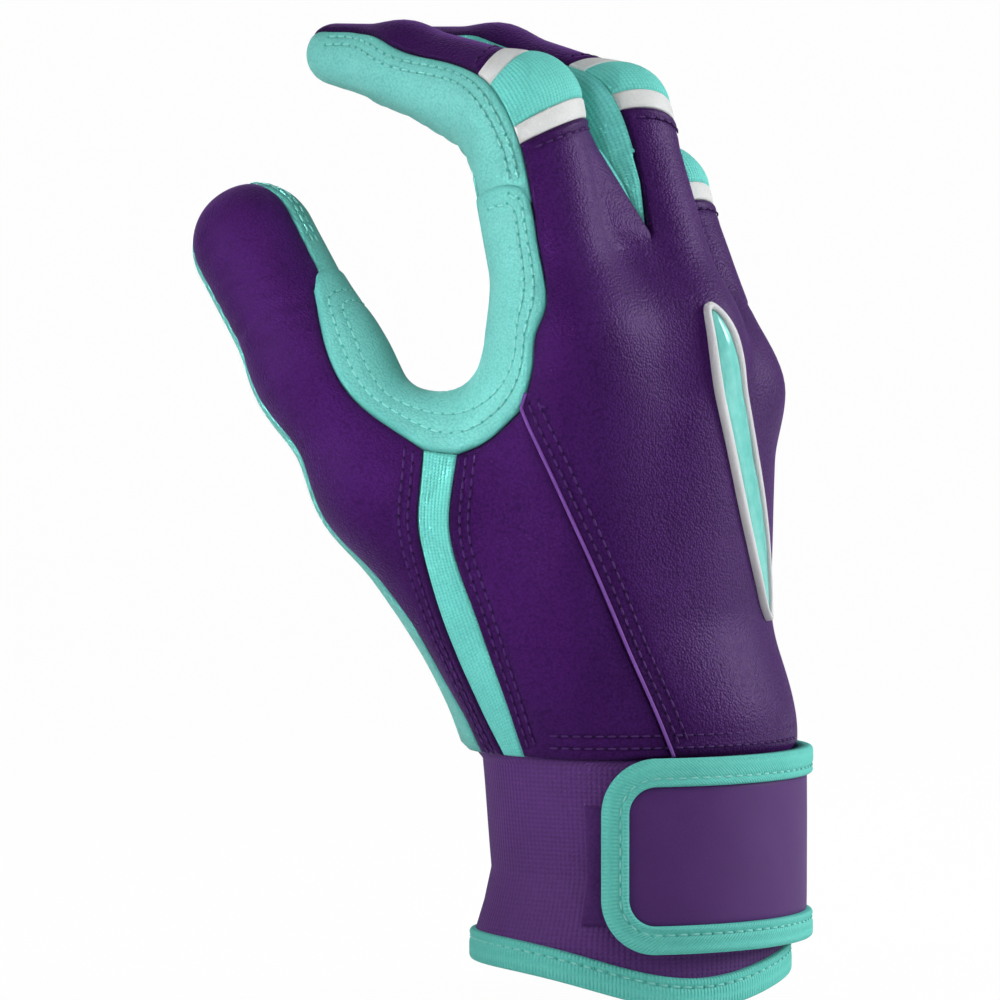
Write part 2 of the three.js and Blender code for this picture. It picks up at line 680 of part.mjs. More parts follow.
// The hem tilts a little and dips under the thumb side of the back.
function hemHeight(angle) {
  const turn = ((angle - HEM_DIP_ANGLE + 540) % 360) - 180;
  return HEM_MID - HEM_TILT * Math.sin(rad(turn)) - HEM_DIP * Math.exp(-((turn / HEM_DIP_SPREAD) ** 2));
}

function tuckPoint(z, angle) {
  const p = handPoint(z, angle);
  return p.addScaledVector(slope(p), -LEATHER - 0.6);
}

function ring(rows) {
  return sheet(rows, true);
}

const AROUND = spread(0, 360, 48).slice(0, 48);
const cuffRows = [WRIST_Z + CUFF_TUCK, WRIST_Z].map((z) => AROUND.map((a) => tuckPoint(z, a)));
for (const z of [39.5, 35, 27, 18, 10]) cuffRows.push(AROUND.map((a) => cuffPoint(z, a)));
cuffRows.push(AROUND.map((a) => cuffPoint(hemHeight(a) + HEM_WIDTH, a)));
cuffRows.push(AROUND.map((a) => cuffPoint(hemHeight(a), a)));
place("cuff_sleeve", shell([ring(cuffRows)], CUFF_WALL), PURPLE_KNIT, 0.85);

const hemOut = SEAM_GAP + HEM_WALL;
const hemIn = -CUFF_WALL - SEAM_GAP - HEM_WALL;
const hemPath = [[HEM_WIDTH, hemOut], [1, hemOut], [-0.6, hemOut - 0.2], [-1.5, -0.3], [-1.5, -1.3], [-0.6, hemIn + 0.2], [1, hemIn], [HEM_WIDTH, hemIn]];
const hemRows = hemPath.map(([up, grow]) => AROUND.map((a) => cuffPoint(hemHeight(a) + up, a, grow)));
place("cuff_hem_binding", shell([ring(hemRows)], HEM_WALL, { gap: 0 }), MINT, 0.7);

// Strap sheet: x runs from the free end to the sewn end, y up from the middle.
const STRAP_HALF = cuffRow(STRAP_MID_Z).slice(0, 2).map((half) => half + STRAP_STAND);
const STRAP_LENGTH = rad(STRAP_SEWN_ANGLE - STRAP_FREE_ANGLE) * ((STRAP_HALF[0] + STRAP_HALF[1]) / 2);
function strapPoint(x, y, grow = 0) {
  const angle = mix(STRAP_FREE_ANGLE, STRAP_SEWN_ANGLE, x / STRAP_LENGTH);
  return ellipsePoint(STRAP_MID_Z + y, angle, STRAP_HALF, STRAP_SHIFT, grow);
}

// Outline of the strap drawn in by an amount, from sewn end over the top and back.
function strapOutline(inset) {
  const half = STRAP_HEIGHT / 2;
  const r = STRAP_CORNER;
  const top = spread(STRAP_LENGTH, r, 12).map((x) => [x, half - inset]);
  const corner = spread(90, 180, 4).slice(1).map((a) => [
    r + (r - inset) * Math.cos(rad(a)),
    half - r + (r - inset) * Math.sin(rad(a)),
  ]);
  const upper = [...top, ...corner];
  const lower = upper.map(([x, y]) => [x, -y]).reverse();
  return [...upper, [inset, 0], ...lower];
}

// The panel fills the outline inside the binding; its last row but one is left out at the free end.
const strapEdge = strapOutline(BINDING).slice(0, 17);
const strapRows = [...strapEdge.slice(0, 15), strapEdge[16]];
const strapSheet = sheet(strapRows.map(([x, y]) => spread(1, -1, 4).map((f) => strapPoint(x, y * f))));
place("strap_panel", shell([strapSheet], STRAP_WALL), PURPLE, 0.65);
const strapFrame = [0, 0.5, 1].map((f) => strapOutline(BINDING * f).map(([x, y]) => strapPoint(x, y, 0.3)));
place("strap_binding", shell([sheet(strapFrame)], STRAP_WALL + 0.3), MINT, 0.75);

const anchorRows = spread(STRAP_LENGTH, STRAP_LENGTH + 8, 2).map((x) => spread(15, -15, 2).map((y) => strapPoint(x, y)));
place("strap_anchor", shell([sheet(anchorRows)], STRAP_WALL + 0.8), PURPLE_KNIT, 0.85);
const hookRows = spread(5, 32, 4).map((x) => spread(12, -12, 3).map((y) => strapPoint(x, y, -STRAP_WALL - PILE_GAP)));
place("hook_patch", shell([sheet(hookRows)], PILE), PURPLE_KNIT, 0.9);
const loopRows = spread(-68, 25, 12).map((a) => spread(32, 9, 4).map((z) => cuffPoint(z, a, PILE_GAP + PILE)));
place("loop_patch", shell([sheet(loopRows)], PILE), PURPLE_KNIT, 0.95);

export default group;
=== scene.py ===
"""Looks of a right-hand batting glove: leather panels, knit gussets, sewn bands, cuff and closing strap.

Every panel is a grid of points on the outside of the gloved hand, which is a signed distance field in
millimetres: X out of the back of the hand, Y to the little finger, Z to the fingertips, origin in the
middle of the wrist opening. Meshes are written in metres in that same frame.
"""

import bpy
import numpy as np
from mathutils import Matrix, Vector


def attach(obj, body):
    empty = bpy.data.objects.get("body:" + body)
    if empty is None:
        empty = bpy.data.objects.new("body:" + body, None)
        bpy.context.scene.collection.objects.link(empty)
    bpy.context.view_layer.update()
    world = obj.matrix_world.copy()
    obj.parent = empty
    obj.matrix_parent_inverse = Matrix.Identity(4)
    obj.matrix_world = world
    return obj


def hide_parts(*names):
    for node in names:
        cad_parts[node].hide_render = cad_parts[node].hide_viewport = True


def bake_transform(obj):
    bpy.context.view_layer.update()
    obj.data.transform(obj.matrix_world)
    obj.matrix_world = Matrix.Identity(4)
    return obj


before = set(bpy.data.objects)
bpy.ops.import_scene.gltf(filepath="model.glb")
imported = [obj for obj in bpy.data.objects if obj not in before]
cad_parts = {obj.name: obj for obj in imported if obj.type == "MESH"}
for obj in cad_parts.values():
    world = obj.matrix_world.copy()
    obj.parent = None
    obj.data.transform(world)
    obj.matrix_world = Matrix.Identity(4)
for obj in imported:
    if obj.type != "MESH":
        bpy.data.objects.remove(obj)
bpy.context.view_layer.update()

MM = 0.001


# The hand that fills the glove

def digit(root, lengths, lean, drift, radii):
    """A finger: knuckle, three bones leaning from upright to the palm and drifting sideways, four radii."""
    lean = np.radians(lean)
    steps = np.stack([-np.sin(lean), np.array(drift), np.cos(lean)], 1) * np.array(lengths)[:, None]
    knots = np.array(root, float) + np.vstack([np.zeros(3), np.cumsum(steps, 0)])
    return {"knots": knots, "radii": radii, "lengths": lengths}


FINGERS = {
    "index": digit([2, -28.3, 124], [45, 31.2, 17.6], [14.8, 70.5, 82], [0, 0, 0], [12.2, 11.6, 8, 6.1]),
    "middle": digit([9, -4.5, 123], [46, 31, 20], [18.5, 71, 82], [0.025, 0, -0.01], [12.2, 11, 9.2, 7]),
    "ring": digit([5.8, 15.6, 112], [42, 22, 13.5], [23, 77, 124], [0.03, 0, 0], [12, 10.8, 9.2, 7.2]),
    "little": digit([-8, 28.5, 104], [31, 20, 16], [18, 78, 112], [0.26, 0.12, 0.05], [11.2, 9.6, 8.3, 6.8]),
}
NAMES = list(FINGERS)
HEELS = {
    "index": ([0, -20, 44], 14.5, 13.5),
    "middle": ([4, -7, 42], 16, 13.5),
    "ring": ([2.5, 6, 42], 16, 12),
    "little": ([-4, 16, 44], 14, 10.8),
}
THUMB_KNOTS = np.array([[-9, -20, 56], [-30, -44, 95], [-43.7, -49, 117], [-60.3, -49.3, 141.8]], float)
THUMB_RADII = [15.2, 13.8, 12.2, 12.4]
WEB_KNOTS = np.array([[-30, -44, 97], [-13, -35, 100.5], [3, -26.5, 116]], float)
WEB_RADII = [9.5, 9.5, 9.5]
PADS = [
    ([-9, -8, 46], [-3, 3, 108], 17, 10),
    ([-12.5, -12.5, 50], [-25, -33, 92], 15.5, 11.5),
    ([-12, 14, 48], [-9, 20, 98], 14, 11),
]
WRIST_X, WRIST_HALF_GAP, WRIST_RADIUS, WRIST_SPAN = -1, 5, 26.8, (20, 42)
HAND_MIDDLE = (-1.0, 1.0)
# Fill between the knuckles of index and middle finger: a short bar and its radius
KNUCKLE_WEB, WEB_FILL = [[11, -15.8, 121], [3.6, -15.4, 142]], 5.9
# Widths over which the parts of the hand are rounded into each other
PALM_ROUND, PAD_ROUND, WRIST_ROUND, THUMB_ROUND, WEB_ROUND = 16, 14, 10, 6, 5
BONE_ROUND, PARTING_ROUND, ROOT_ROUND, CROTCH_ROUND = 4, 2, 6, 9

# Seams, as angles round a finger (0 its back, 90 facing the little finger) and stations along it
BACK_EDGE = {"index": (-68, 47), "middle": (-47, 47), "ring": (-47, 47), "little": (-47, 72)}
FRONT_EDGE = {"index": (-138, 134), "middle": (-134, 136), "ring": (-132, 150), "little": (-98, 72)}
SIDE_EDGE = {"index": (-68, 105), "middle": (-110, 110), "ring": (-110, 110), "little": (-110, 72)}
BAND_SLANT = {"index": 2.0, "middle": -1.4, "ring": 0, "little": 0}
PARTING = {"index": 0.9, "middle": 0.5, "ring": 0.5}
TIP_EDGE = {"index": (-38, 47), "middle": (-36, 47)}
CROTCH = {"index": (0.38, 0.38), "middle": (0.41, 0.175), "ring": (0.43, 0.325), "little": (0.5, 0.3)}
BEND_HALF = {"index": 12, "middle": 12, "ring": 11, "little": 10.5}
TRIM_WIDTH, TRIM_ABOVE = 3.5, 5
TRIM_BELOW = {"index": 4.5, "middle": 1.5, "ring": 3.5, "little": 3.5}
THUMB_OUTER, THUMB_INNER = -41, 84
THUMB_BEND, PATCH_TOP = (2.4, 2.85), 2.56
WRIST_Z = 41.4


def cone(p, a, b, r1, r2):
    """Signed distance to a cone with round ends: a sphere swept from a to b, its radius from r1 to r2."""
    a, b = np.asarray(a, float), np.asarray(b, float)
    ba = b - a
    l2 = ba @ ba
    rr = r1 - r2
    a2 = l2 - rr * rr
    pa = p - a
    y = pa @ ba
    z = y - l2
    w = pa * l2 - ba * y[:, None]
    x2 = np.einsum("ij,ij->i", w, w)
    y2, z2 = y * y * l2, z * z * l2
    k = np.sign(rr) * rr * rr * x2
    far = np.sqrt(x2 + z2) / l2 - r2
    near = np.sqrt(x2 + y2) / l2 - r1
    side = (np.sqrt(x2 * a2 / l2) + y * rr) / l2 - r1
    return np.where(np.sign(z) * a2 * z2 > k, far, np.where(np.sign(y) * a2 * y2 < k, near, side))


def blend_min(a, b, k):
    """The smaller of two distances, rounded over a width k where they meet."""
    h = np.maximum(k - np.abs(a - b), 0) / k
    return np.minimum(a, b) - h * h * k / 4


def chain(p, knots, radii, k):
    """Distance to a row of cones joined end to end."""
    d = cone(p, knots[0], knots[1], radii[0], radii[1])
    for i in range(1, len(knots) - 1):
        d = blend_min(d, cone(p, knots[i], knots[i + 1], radii[i], radii[i + 1]), k)
    return d


def field(p, only=None):
    """Signed distance to the outside of the filled glove, or to the hand with one finger alone."""
    body = np.full(len(p), 1000.0)
    fingers = np.full(len(p), 1000.0)
    for name in NAMES:
        knots, radii = FINGERS[name]["knots"], FINGERS[name]["radii"]
        heel, r1, r2 = HEELS[name]
        body = blend_min(body, cone(p, heel, knots[0], r1, r2), PALM_ROUND)
        if only in (None, name):
            fingers = blend_min(fingers, chain(p, knots, radii, BONE_ROUND), PARTING_ROUND)
    if only is None:
        fingers = blend_min(fingers, cone(p, *KNUCKLE_WEB, WEB_FILL, WEB_FILL), WEB_ROUND)
    for low, high, r1, r2 in PADS:
        body = blend_min(body, cone(p, low, high, r1, r2), PAD_ROUND)
    thumb = chain(p, THUMB_KNOTS, THUMB_RADII, THUMB_ROUND)
    web = chain(p, WEB_KNOTS, WEB_RADII, WEB_ROUND)
    body = blend_min(body, blend_min(thumb, web, CROTCH_ROUND), PAD_ROUND)
    for side in (-WRIST_HALF_GAP, WRIST_HALF_GAP):
        low, high = ([WRIST_X, side, z] for z in WRIST_SPAN)
        body = blend_min(body, cone(p, low, high, WRIST_RADIUS, WRIST_RADIUS), WRIST_ROUND)
    return blend_min(body, fingers, ROOT_ROUND)


def unit(v):
    """Vectors made one long."""
    return v / np.maximum(np.linalg.norm(v, axis=-1, keepdims=True), 1e-9)


def slope(p, only=None):
    """Outward direction of the field: central differences over 0.2 mm, made unit."""
    e = 0.2 * np.eye(3)
    return unit(np.stack([field(p + e[i], only) - field(p - e[i], only) for i in range(3)], -1))


def settle(points, only=None, rounds=4):
    """Points moved along the field's slope until they lie on the outside of the glove."""
    q = np.asarray(points, float).reshape(-1, 3)
    for _ in range(rounds):
        q = q - slope(q, only) * field(q, only)[:, None]
    return q.reshape(np.shape(points))


def cast_out(start, ray, only=None):
    """Points marched from start along ray until the field is zero."""
    q = start.reshape(-1, 3).copy()
    r = ray.reshape(-1, 3)
    for _ in range(34):
        q -= r * (0.9 * field(q, only))[:, None]
    return q.reshape(start.shape)


def curve(points, t, corners=()):
    """Smooth curve through points (Catmull-Rom on the first axis), t counting them; sharp at the corners."""
    points = np.asarray(points, float)
    t = np.asarray(t, float)
    last = len(points) - 1
    i = np.clip(np.floor(t).astype(int), 0, last - 1)
    u = (t - i).reshape((-1,) + (1,) * (points.ndim - 1))
    sharp = np.isin(np.arange(last + 1), [0, last, *corners])
    p1, p2 = points[i], points[i + 1]
    shape = (-1,) + (1,) * (points.ndim - 1)
    p0 = np.where(sharp[i].reshape(shape), 2 * p1 - p2, points[np.maximum(i - 1, 0)])
    p3 = np.where(sharp[i + 1].reshape(shape), 2 * p2 - p1, points[np.minimum(i + 2, last)])
    return (
        p0 * (-0.5 * u + u**2 - 0.5 * u**3)
        + p1 * (1 - 2.5 * u**2 + 1.5 * u**3)
        + p2 * (0.5 * u + 2 * u**2 - 1.5 * u**3)
        + p3 * (-0.5 * u**2 + 0.5 * u**3)
    )


def digit_point(knots, lateral, station, angle, only=None):
    """Point on a digit: station 0 to 3 counts its knots, 3 to 4 rounds the tip; angle is about its axis."""
    station, angle = np.broadcast_arrays(np.asarray(station, float), np.radians(angle))
    s = np.minimum(station, 3).ravel()
    centre = curve(knots, s)
    ahead = unit(curve(knots, s + 0.02) - curve(knots, s - 0.02))
    lateral = np.asarray(lateral, float)
    side = unit(lateral - ahead * (ahead @ lateral)[:, None])
    back = np.cross(side, ahead)
    tilt = np.radians(90 * np.maximum(station.ravel() - 3, 0))
    turn = angle.ravel()
    ray = back * (np.cos(turn) * np.cos(tilt))[:, None]
    ray = unit(ray + side * (np.sin(turn) * np.cos(tilt))[:, None] + ahead * np.sin(tilt)[:, None])
    return cast_out(centre, ray, only).reshape(station.shape + (3,))


def finger_point(name, station, angle):
    """Point on a finger by itself, its angle 0 at the back and 90 towards the little finger."""
    return digit_point(FINGERS[name]["knots"], (0, 1, 0), station, angle, name)


def thumb_point(station, angle):
    """Point on the thumb, its angle 90 towards the index finger."""
    return digit_point(THUMB_KNOTS, (0.85, 0, 0.53), station, angle)


def hand_point(z, angle):
    """Point on the hand at a height, at an angle about its middle line (0 the back, 90 the little finger)."""
    z, angle = np.broadcast_arrays(np.asarray(z, float), np.radians(angle))
    start = np.stack([np.full(z.shape, HAND_MIDDLE[0]), np.full(z.shape, HAND_MIDDLE[1]), z], -1)
    ray = np.stack([np.cos(angle), np.sin(angle), np.zeros(z.shape)], -1)
    return cast_out(start, ray)


# Meshes and panels

def spread(a, b, count):
    """Even steps from a to b."""
    return np.linspace(a, b, count + 1)


def gathered(count, pinch=0.75):
    """Parameters 0 to 1 that lie closer together at both ends: x less a share of a sine."""
    x = np.linspace(0, 1, count + 1)
    return x - pinch * np.sin(2 * np.pi * x) / (2 * np.pi)


def mix(a, b, t):
    """Part t of the way from a to b."""
    return a + (b - a) * t


def running(line):
    """Length run along a line up to each of its points."""
    return np.concatenate([[0], np.cumsum(np.linalg.norm(np.diff(line, axis=0), axis=1))])


def at_lengths(line, at):
    """Points of a line at running lengths."""
    run = running(line)
    return np.stack([np.interp(at, run, line[:, k]) for k in range(line.shape[1])], 1)


def resampled(line, pitch):
    """Points along a line at an even spacing, by its running length."""
    return at_lengths(line, np.arange(pitch / 2, running(line)[-1], pitch))


def quads_of(ids):
    """Quads between the neighbouring points of a grid of point numbers."""
    return np.stack([ids[:-1, :-1], ids[:-1, 1:], ids[1:, 1:], ids[1:, :-1]], -1).reshape(-1, 4)


def joined(sheets):
    """Grids sewn into one where their points meet to 1/500 mm: points, quads, each point's first number."""
    points, quads, base = [], [], 0
    for grid in sheets:
        n, m = grid.shape[:2]
        ids = base + np.arange(n * m).reshape(n, m)
        quads.append(quads_of(ids))
        points.append(grid.reshape(-1, 3))
        base += n * m
    points, quads = np.vstack(points), np.vstack(quads)
    cells = np.round(points * 500).astype(np.int64)
    _, first, back = np.unique(cells, axis=0, return_index=True, return_inverse=True)
    return points[first], back.reshape(-1)[quads], first


def triangles_of(quads):
    """Two triangles to a quad, without those that have shrunk to a line."""
    t = np.vstack([quads[:, [0, 1, 2]], quads[:, [0, 2, 3]]])
    return t[(t[:, 0] != t[:, 1]) & (t[:, 1] != t[:, 2]) & (t[:, 0] != t[:, 2])]


def mesh_normals(points, triangles):
    """Unit normals at points: the sum of the normals of the triangles round each, by their area."""
    a, b, c = points[triangles[:, 0]], points[triangles[:, 1]], points[triangles[:, 2]]
    n = np.cross(b - a, c - a)
    total = np.zeros_like(points)
    for k in range(3):
        np.add.at(total, triangles[:, k], n)
    return unit(total)


def free_edges(triangles):
    """Directed edges that belong to one triangle only."""
    e = np.vstack([triangles[:, [0, 1]], triangles[:, [1, 2]], triangles[:, [2, 0]]])
    _, at, count = np.unique(np.sort(e, 1), axis=0, return_index=True, return_counts=True)
    return e[at[count == 1]]


def nearest(points, marks):
    """Distance from each point to the nearest of the marks, in slices to keep the arrays small."""
    best = np.full(len(points), 1e9)
    for k in range(0, len(marks), 64):
        gap = points[:, None] - marks[None, k:k + 64]
        best = np.minimum(best, np.einsum("ijk,ijk->ij", gap, gap).min(1))
    return np.sqrt(best)


HASH, HASH_TOP = np.array([374761393, 668265263, 2147483647]), 0x7FFFFFFF


def lattice(p, size, seed):
    """Smooth noise from -1 to 1: hashed values on a cubic lattice of that size, blended between corners."""
    q = p / size + seed * 17.31
    i = np.floor(q).astype(np.int64)
    f = q - i
    f = f * f * (3 - 2 * f)
    total = np.zeros(len(p))
    for corner in np.ndindex(2, 2, 2):
        c = i + np.array(corner)
        h = (c @ HASH + seed * 144665) & HASH_TOP
        h = ((h ^ (h >> 13)) * 1274126177) & HASH_TOP
        value = (h ^ (h >> 16)) / HASH_TOP * 2 - 1
        total += value * np.prod(np.where(np.array(corner) == 1, f, 1 - f), axis=1)
    return total


def put(name, points, triangles, material, body, node=(), marks=None, sharp=None):
    """A mesh object from points in millimetres, smooth shaded but for sharp edges, on a named body or none.
    """
    mesh = bpy.data.meshes.new(name)
    mesh.vertices.add(len(points))
    mesh.vertices.foreach_set("co", (points * MM).astype(np.float32).ravel())
    mesh.loops.add(3 * len(triangles))
    mesh.loops.foreach_set("vertex_index", triangles.astype(np.int32).ravel())
    mesh.polygons.add(len(triangles))
    mesh.polygons.foreach_set("loop_start", (3 * np.arange(len(triangles))).astype(np.int32))
    mesh.update(calc_edges=True)
    mesh.shade_smooth()
    for key, values in (marks or {}).items():
        wide = np.ndim(values) == 2
        attribute = mesh.attributes.new(key, "FLOAT_VECTOR" if wide else "FLOAT", "POINT")
        attribute.data.foreach_set("vector" if wide else "value", np.asarray(values, np.float32).ravel())
    if sharp is not None:
        pairs = np.empty(2 * len(mesh.edges), np.int32)
        mesh.edges.foreach_get("vertices", pairs)
        pairs, sharp = np.sort(pairs.reshape(-1, 2), 1), np.sort(sharp, 1)
        ends = np.isin(pairs @ [len(points), 1], sharp @ [len(points), 1])
        mesh.attributes.new("sharp_edge", "BOOLEAN", "EDGE").data.foreach_set("value", ends)
    mesh.materials.append(material)
    piece = bpy.data.objects.new(name, mesh)
    bpy.context.scene.collection.objects.link(piece)
    if isinstance(body, str):
        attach(piece, body)
    else:
        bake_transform(piece)
    if node:
        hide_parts(*node)


def skin(sheets, only=None, facing=None, flush=()):
    """Joined sheets with outward triangles, normals, free edges and the distance to those that are sewn.

    An edge on a flush line runs on into the next piece of the same leather, so it counts as no edge.
    """
    points, quads, first = joined(sheets)
    triangles = triangles_of(quads)
    normals = mesh_normals(points, triangles)
    out = slope(points, only) if facing is None else facing(points)
    if (normals * out).sum() < 0:
        triangles, normals = triangles[:, ::-1], -normals
    edges = free_edges(triangles)
    sewn = points[np.unique(edges)]
    if len(flush):
        sewn = sewn[nearest(sewn, np.vstack([resampled(line, 0.4) for line in flush])) > 0.7]
    return {
        "points": points, "triangles": triangles, "normals": normals, "edges": edges, "first": first,
        "margin": nearest(points, sewn),
    }


def rolled(margin, radius):
    """How far a turned edge drops: a quarter circle of that radius ending at the edge."""
    x = np.clip(1 - margin / radius, 0, 1)
    return radius * (1 - np.sqrt(1 - x * x))


def shell(s, rise, wall):
    """Closed shell from a skin: outside lifted by rise along the normals, inside at wall under the skin."""
    count = len(s["points"])
    outer = s["points"] + s["normals"] * rise[:, None]
    inner = s["points"] - s["normals"] * np.maximum(wall, wall - rise)[:, None]
    t, e = s["triangles"], s["edges"]
    rim = np.vstack([
        np.stack([e[:, 1], e[:, 0], e[:, 0] + count], 1),
        np.stack([e[:, 1], e[:, 0] + count, e[:, 1] + count], 1),
    ])
    return np.vstack([outer, inner]), np.vstack([t, t[:, ::-1] + count, rim])


def leather_form(p, margin, creases):
    """Height of worn leather: soft swells over 18 and 8 mm, fading at the edge, and the creases given.

    A crease is a place, a direction, a reach, a pitch and a depth: a cosine under a bell.
    """
    calm = np.clip(margin / 5, 0.15, 1)
    h = calm * (0.2 * lattice(p, 18, 1) + 0.05 * lattice(p, 8, 2))
    for place, along, reach, pitch, depth in creases:
        d = p - np.array(place, float)
        fold = d @ unit(np.array(along, float)) + 1.2 * lattice(p, 5, 3)
        near = np.exp(-(d * d).sum(1) / (2 * reach * reach))
        h = h + depth * near * np.cos(2 * np.pi * fold / pitch)
    return h


def sewn_lines(line, normals, offsets, inward):
    """Lines beside a seam: the seam moved over the surface by the offsets, square to its own run."""
    along = unit(np.gradient(line, axis=0))
    across = unit(np.cross(normals, along))
    if (across * inward).sum() < 0:
        across = -across
    return [line + across * o for o in offsets]


# Sewing: how far and over what width stitches sink the leather, their spacing, and half the length,
# width and height of a thread and of a needle hole
STITCH_SINK, STITCH_GROOVE, STITCH_PITCH = 0.24, 0.75, 2.3
THREAD_HALF, HOLE_HALF, HOLE_DROP = (0.82, 0.23, 0.2), (0.34, 0.27, 0.16), 0.12
# Leather under a panel's outside, and the width of the painted shade that darkens it to the seam
LEATHER_WALL, SEAM_SHADE = 1.0, 0.9


def panel(name, node, sheets, material, body, lift=0.0, puff=0.0, roll=0.9, only=None,
          stitches=(), creases=(), flush=()):
    """A sewn panel: its sheets lifted and puffed, edges rolled under, sunk where stitch lines pull it in."""
    s = skin(sheets, only, flush=flush)
    p, margin = s["points"], s["margin"]
    rise = lift + puff * (1 - np.exp(-margin / 6)) - rolled(margin, roll) + leather_form(p, margin, creases)
    if len(stitches):
        pull = nearest(p, np.vstack([resampled(line, 0.5) for line in stitches]))
        rise = rise - STITCH_SINK * np.exp(-(pull / STITCH_GROOVE) ** 2)
    points, triangles = shell(s, rise, LEATHER_WALL)
    # Painted shade: the seam mark darkens the colour near each sewn edge, and over all of the inner side
    fade = np.exp(-margin / SEAM_SHADE)
    marks = {"seam": np.concatenate([fade, np.ones(len(p))])}
    put(name, points, triangles, material, body, node, marks, s["edges"])


def spindle():
    """A spindle of unit halves, as points and faces: six points round at six stations of a blunt oval."""
    x = np.cos(np.linspace(np.pi, 0, 6))
    thick = np.sqrt(np.maximum(1 - x**4, 0.02))[:, None]
    turn = np.linspace(0, 2 * np.pi, 7)[:-1][None]
    form = np.stack([np.repeat(x, 6), (thick * np.cos(turn)).ravel(), (thick * np.sin(turn)).ravel()], 1)
    ids = np.arange(36).reshape(6, 6)
    quads = quads_of(np.hstack([ids, ids[:, :1]]))
    fan = np.stack([np.zeros(4, int), np.arange(1, 5), np.arange(2, 6)], 1)
    return form, np.vstack([triangles_of(quads), fan[:, ::-1], fan + 30])


def stitching(name, lines, thread, hole, body, rise=0.12, pitch=STITCH_PITCH, only=None, facing=None):
    """Rows of stitches: at each step a small spindle of thread along the row, and a needle hole after it."""
    form, faces = spindle()
    at, ahead = [], []
    for line in lines:
        q = resampled(line, pitch)
        at.append(q)
        ahead.append(unit(np.gradient(q, axis=0)))
    at, ahead = np.vstack(at), np.vstack(ahead)
    if facing is None:
        at = settle(at, only, 3)
        up = slope(at, only)
    else:
        up = facing(at)
    ahead = unit(ahead - up * (ahead * up).sum(1, keepdims=True))
    side = np.cross(up, ahead)

    def spindles(centre, half, wide, high):
        """A spindle of those half sizes at each centre, lying along the row."""
        v = centre[:, None] + ahead[:, None] * form[None, :, :1] * half
        v = v + side[:, None] * form[None, :, 1:2] * wide + up[:, None] * form[None, :, 2:] * high
        f = faces[None] + (np.arange(len(centre)) * len(form))[:, None, None]
        return v.reshape(-1, 3), f.reshape(-1, 3)

    v, f = spindles(at + up * rise, *THREAD_HALF)
    put(name, v, f, thread, body)
    # Each needle hole is a dark spindle sunk under the row: painted shadow
    v, f = spindles(at + up * (rise - HOLE_DROP) + ahead * pitch / 2, *HOLE_HALF)
    put(name + "_holes", v, f, hole, body)


# Materials

COLOUR, VECTOR = {"data_type": "RGBA"}, {"data_type": "VECTOR"}
TIMES, TIMES_PLUS = {"operation": "MULTIPLY"}, {"operation": "MULTIPLY_ADD"}
SINE, UPRIGHT = {"operation": "SINE"}, {"operation": "ABSOLUTE"}


def linear(code):
    """An sRGB hex colour as linear light, opaque."""
    c = np.array([int(code[k:k + 2], 16) for k in (1, 3, 5)]) / 255
    return (*np.where(c <= 0.04045, c / 12.92, ((c + 0.055) / 1.055) ** 2.4), 1.0)


def add(tree, kind, settings=(), **inputs):
    """A node with its settings; its inputs, by name or as i and a number, are set to values or linked."""
    made = tree.nodes.new("ShaderNode" + kind)
    for key, value in dict(settings).items():
        setattr(made, key, value)
    for key, value in inputs.items():
        numbered = key[0] == "i" and key[1:].isdigit()
        socket = made.inputs[int(key[1:]) if numbered else key.replace("_", " ")]
        if isinstance(value, bpy.types.NodeSocket):
            tree.links.new(value, socket)
        else:
            socket.default_value = value
    return made


def blank(name):
    """An empty material with a principled shader linked to its output."""
    material = bpy.data.materials.new(name)
    material.use_nodes = True
    tree = material.node_tree
    tree.nodes.clear()
    shader = add(tree, "BsdfPrincipled")
    add(tree, "OutputMaterial", Surface=shader.outputs["BSDF"])
    return material, tree, shader


def per_mm(size):
    """Texture scale for a cell of that many millimetres, on coordinates in metres."""
    return 1000 / size


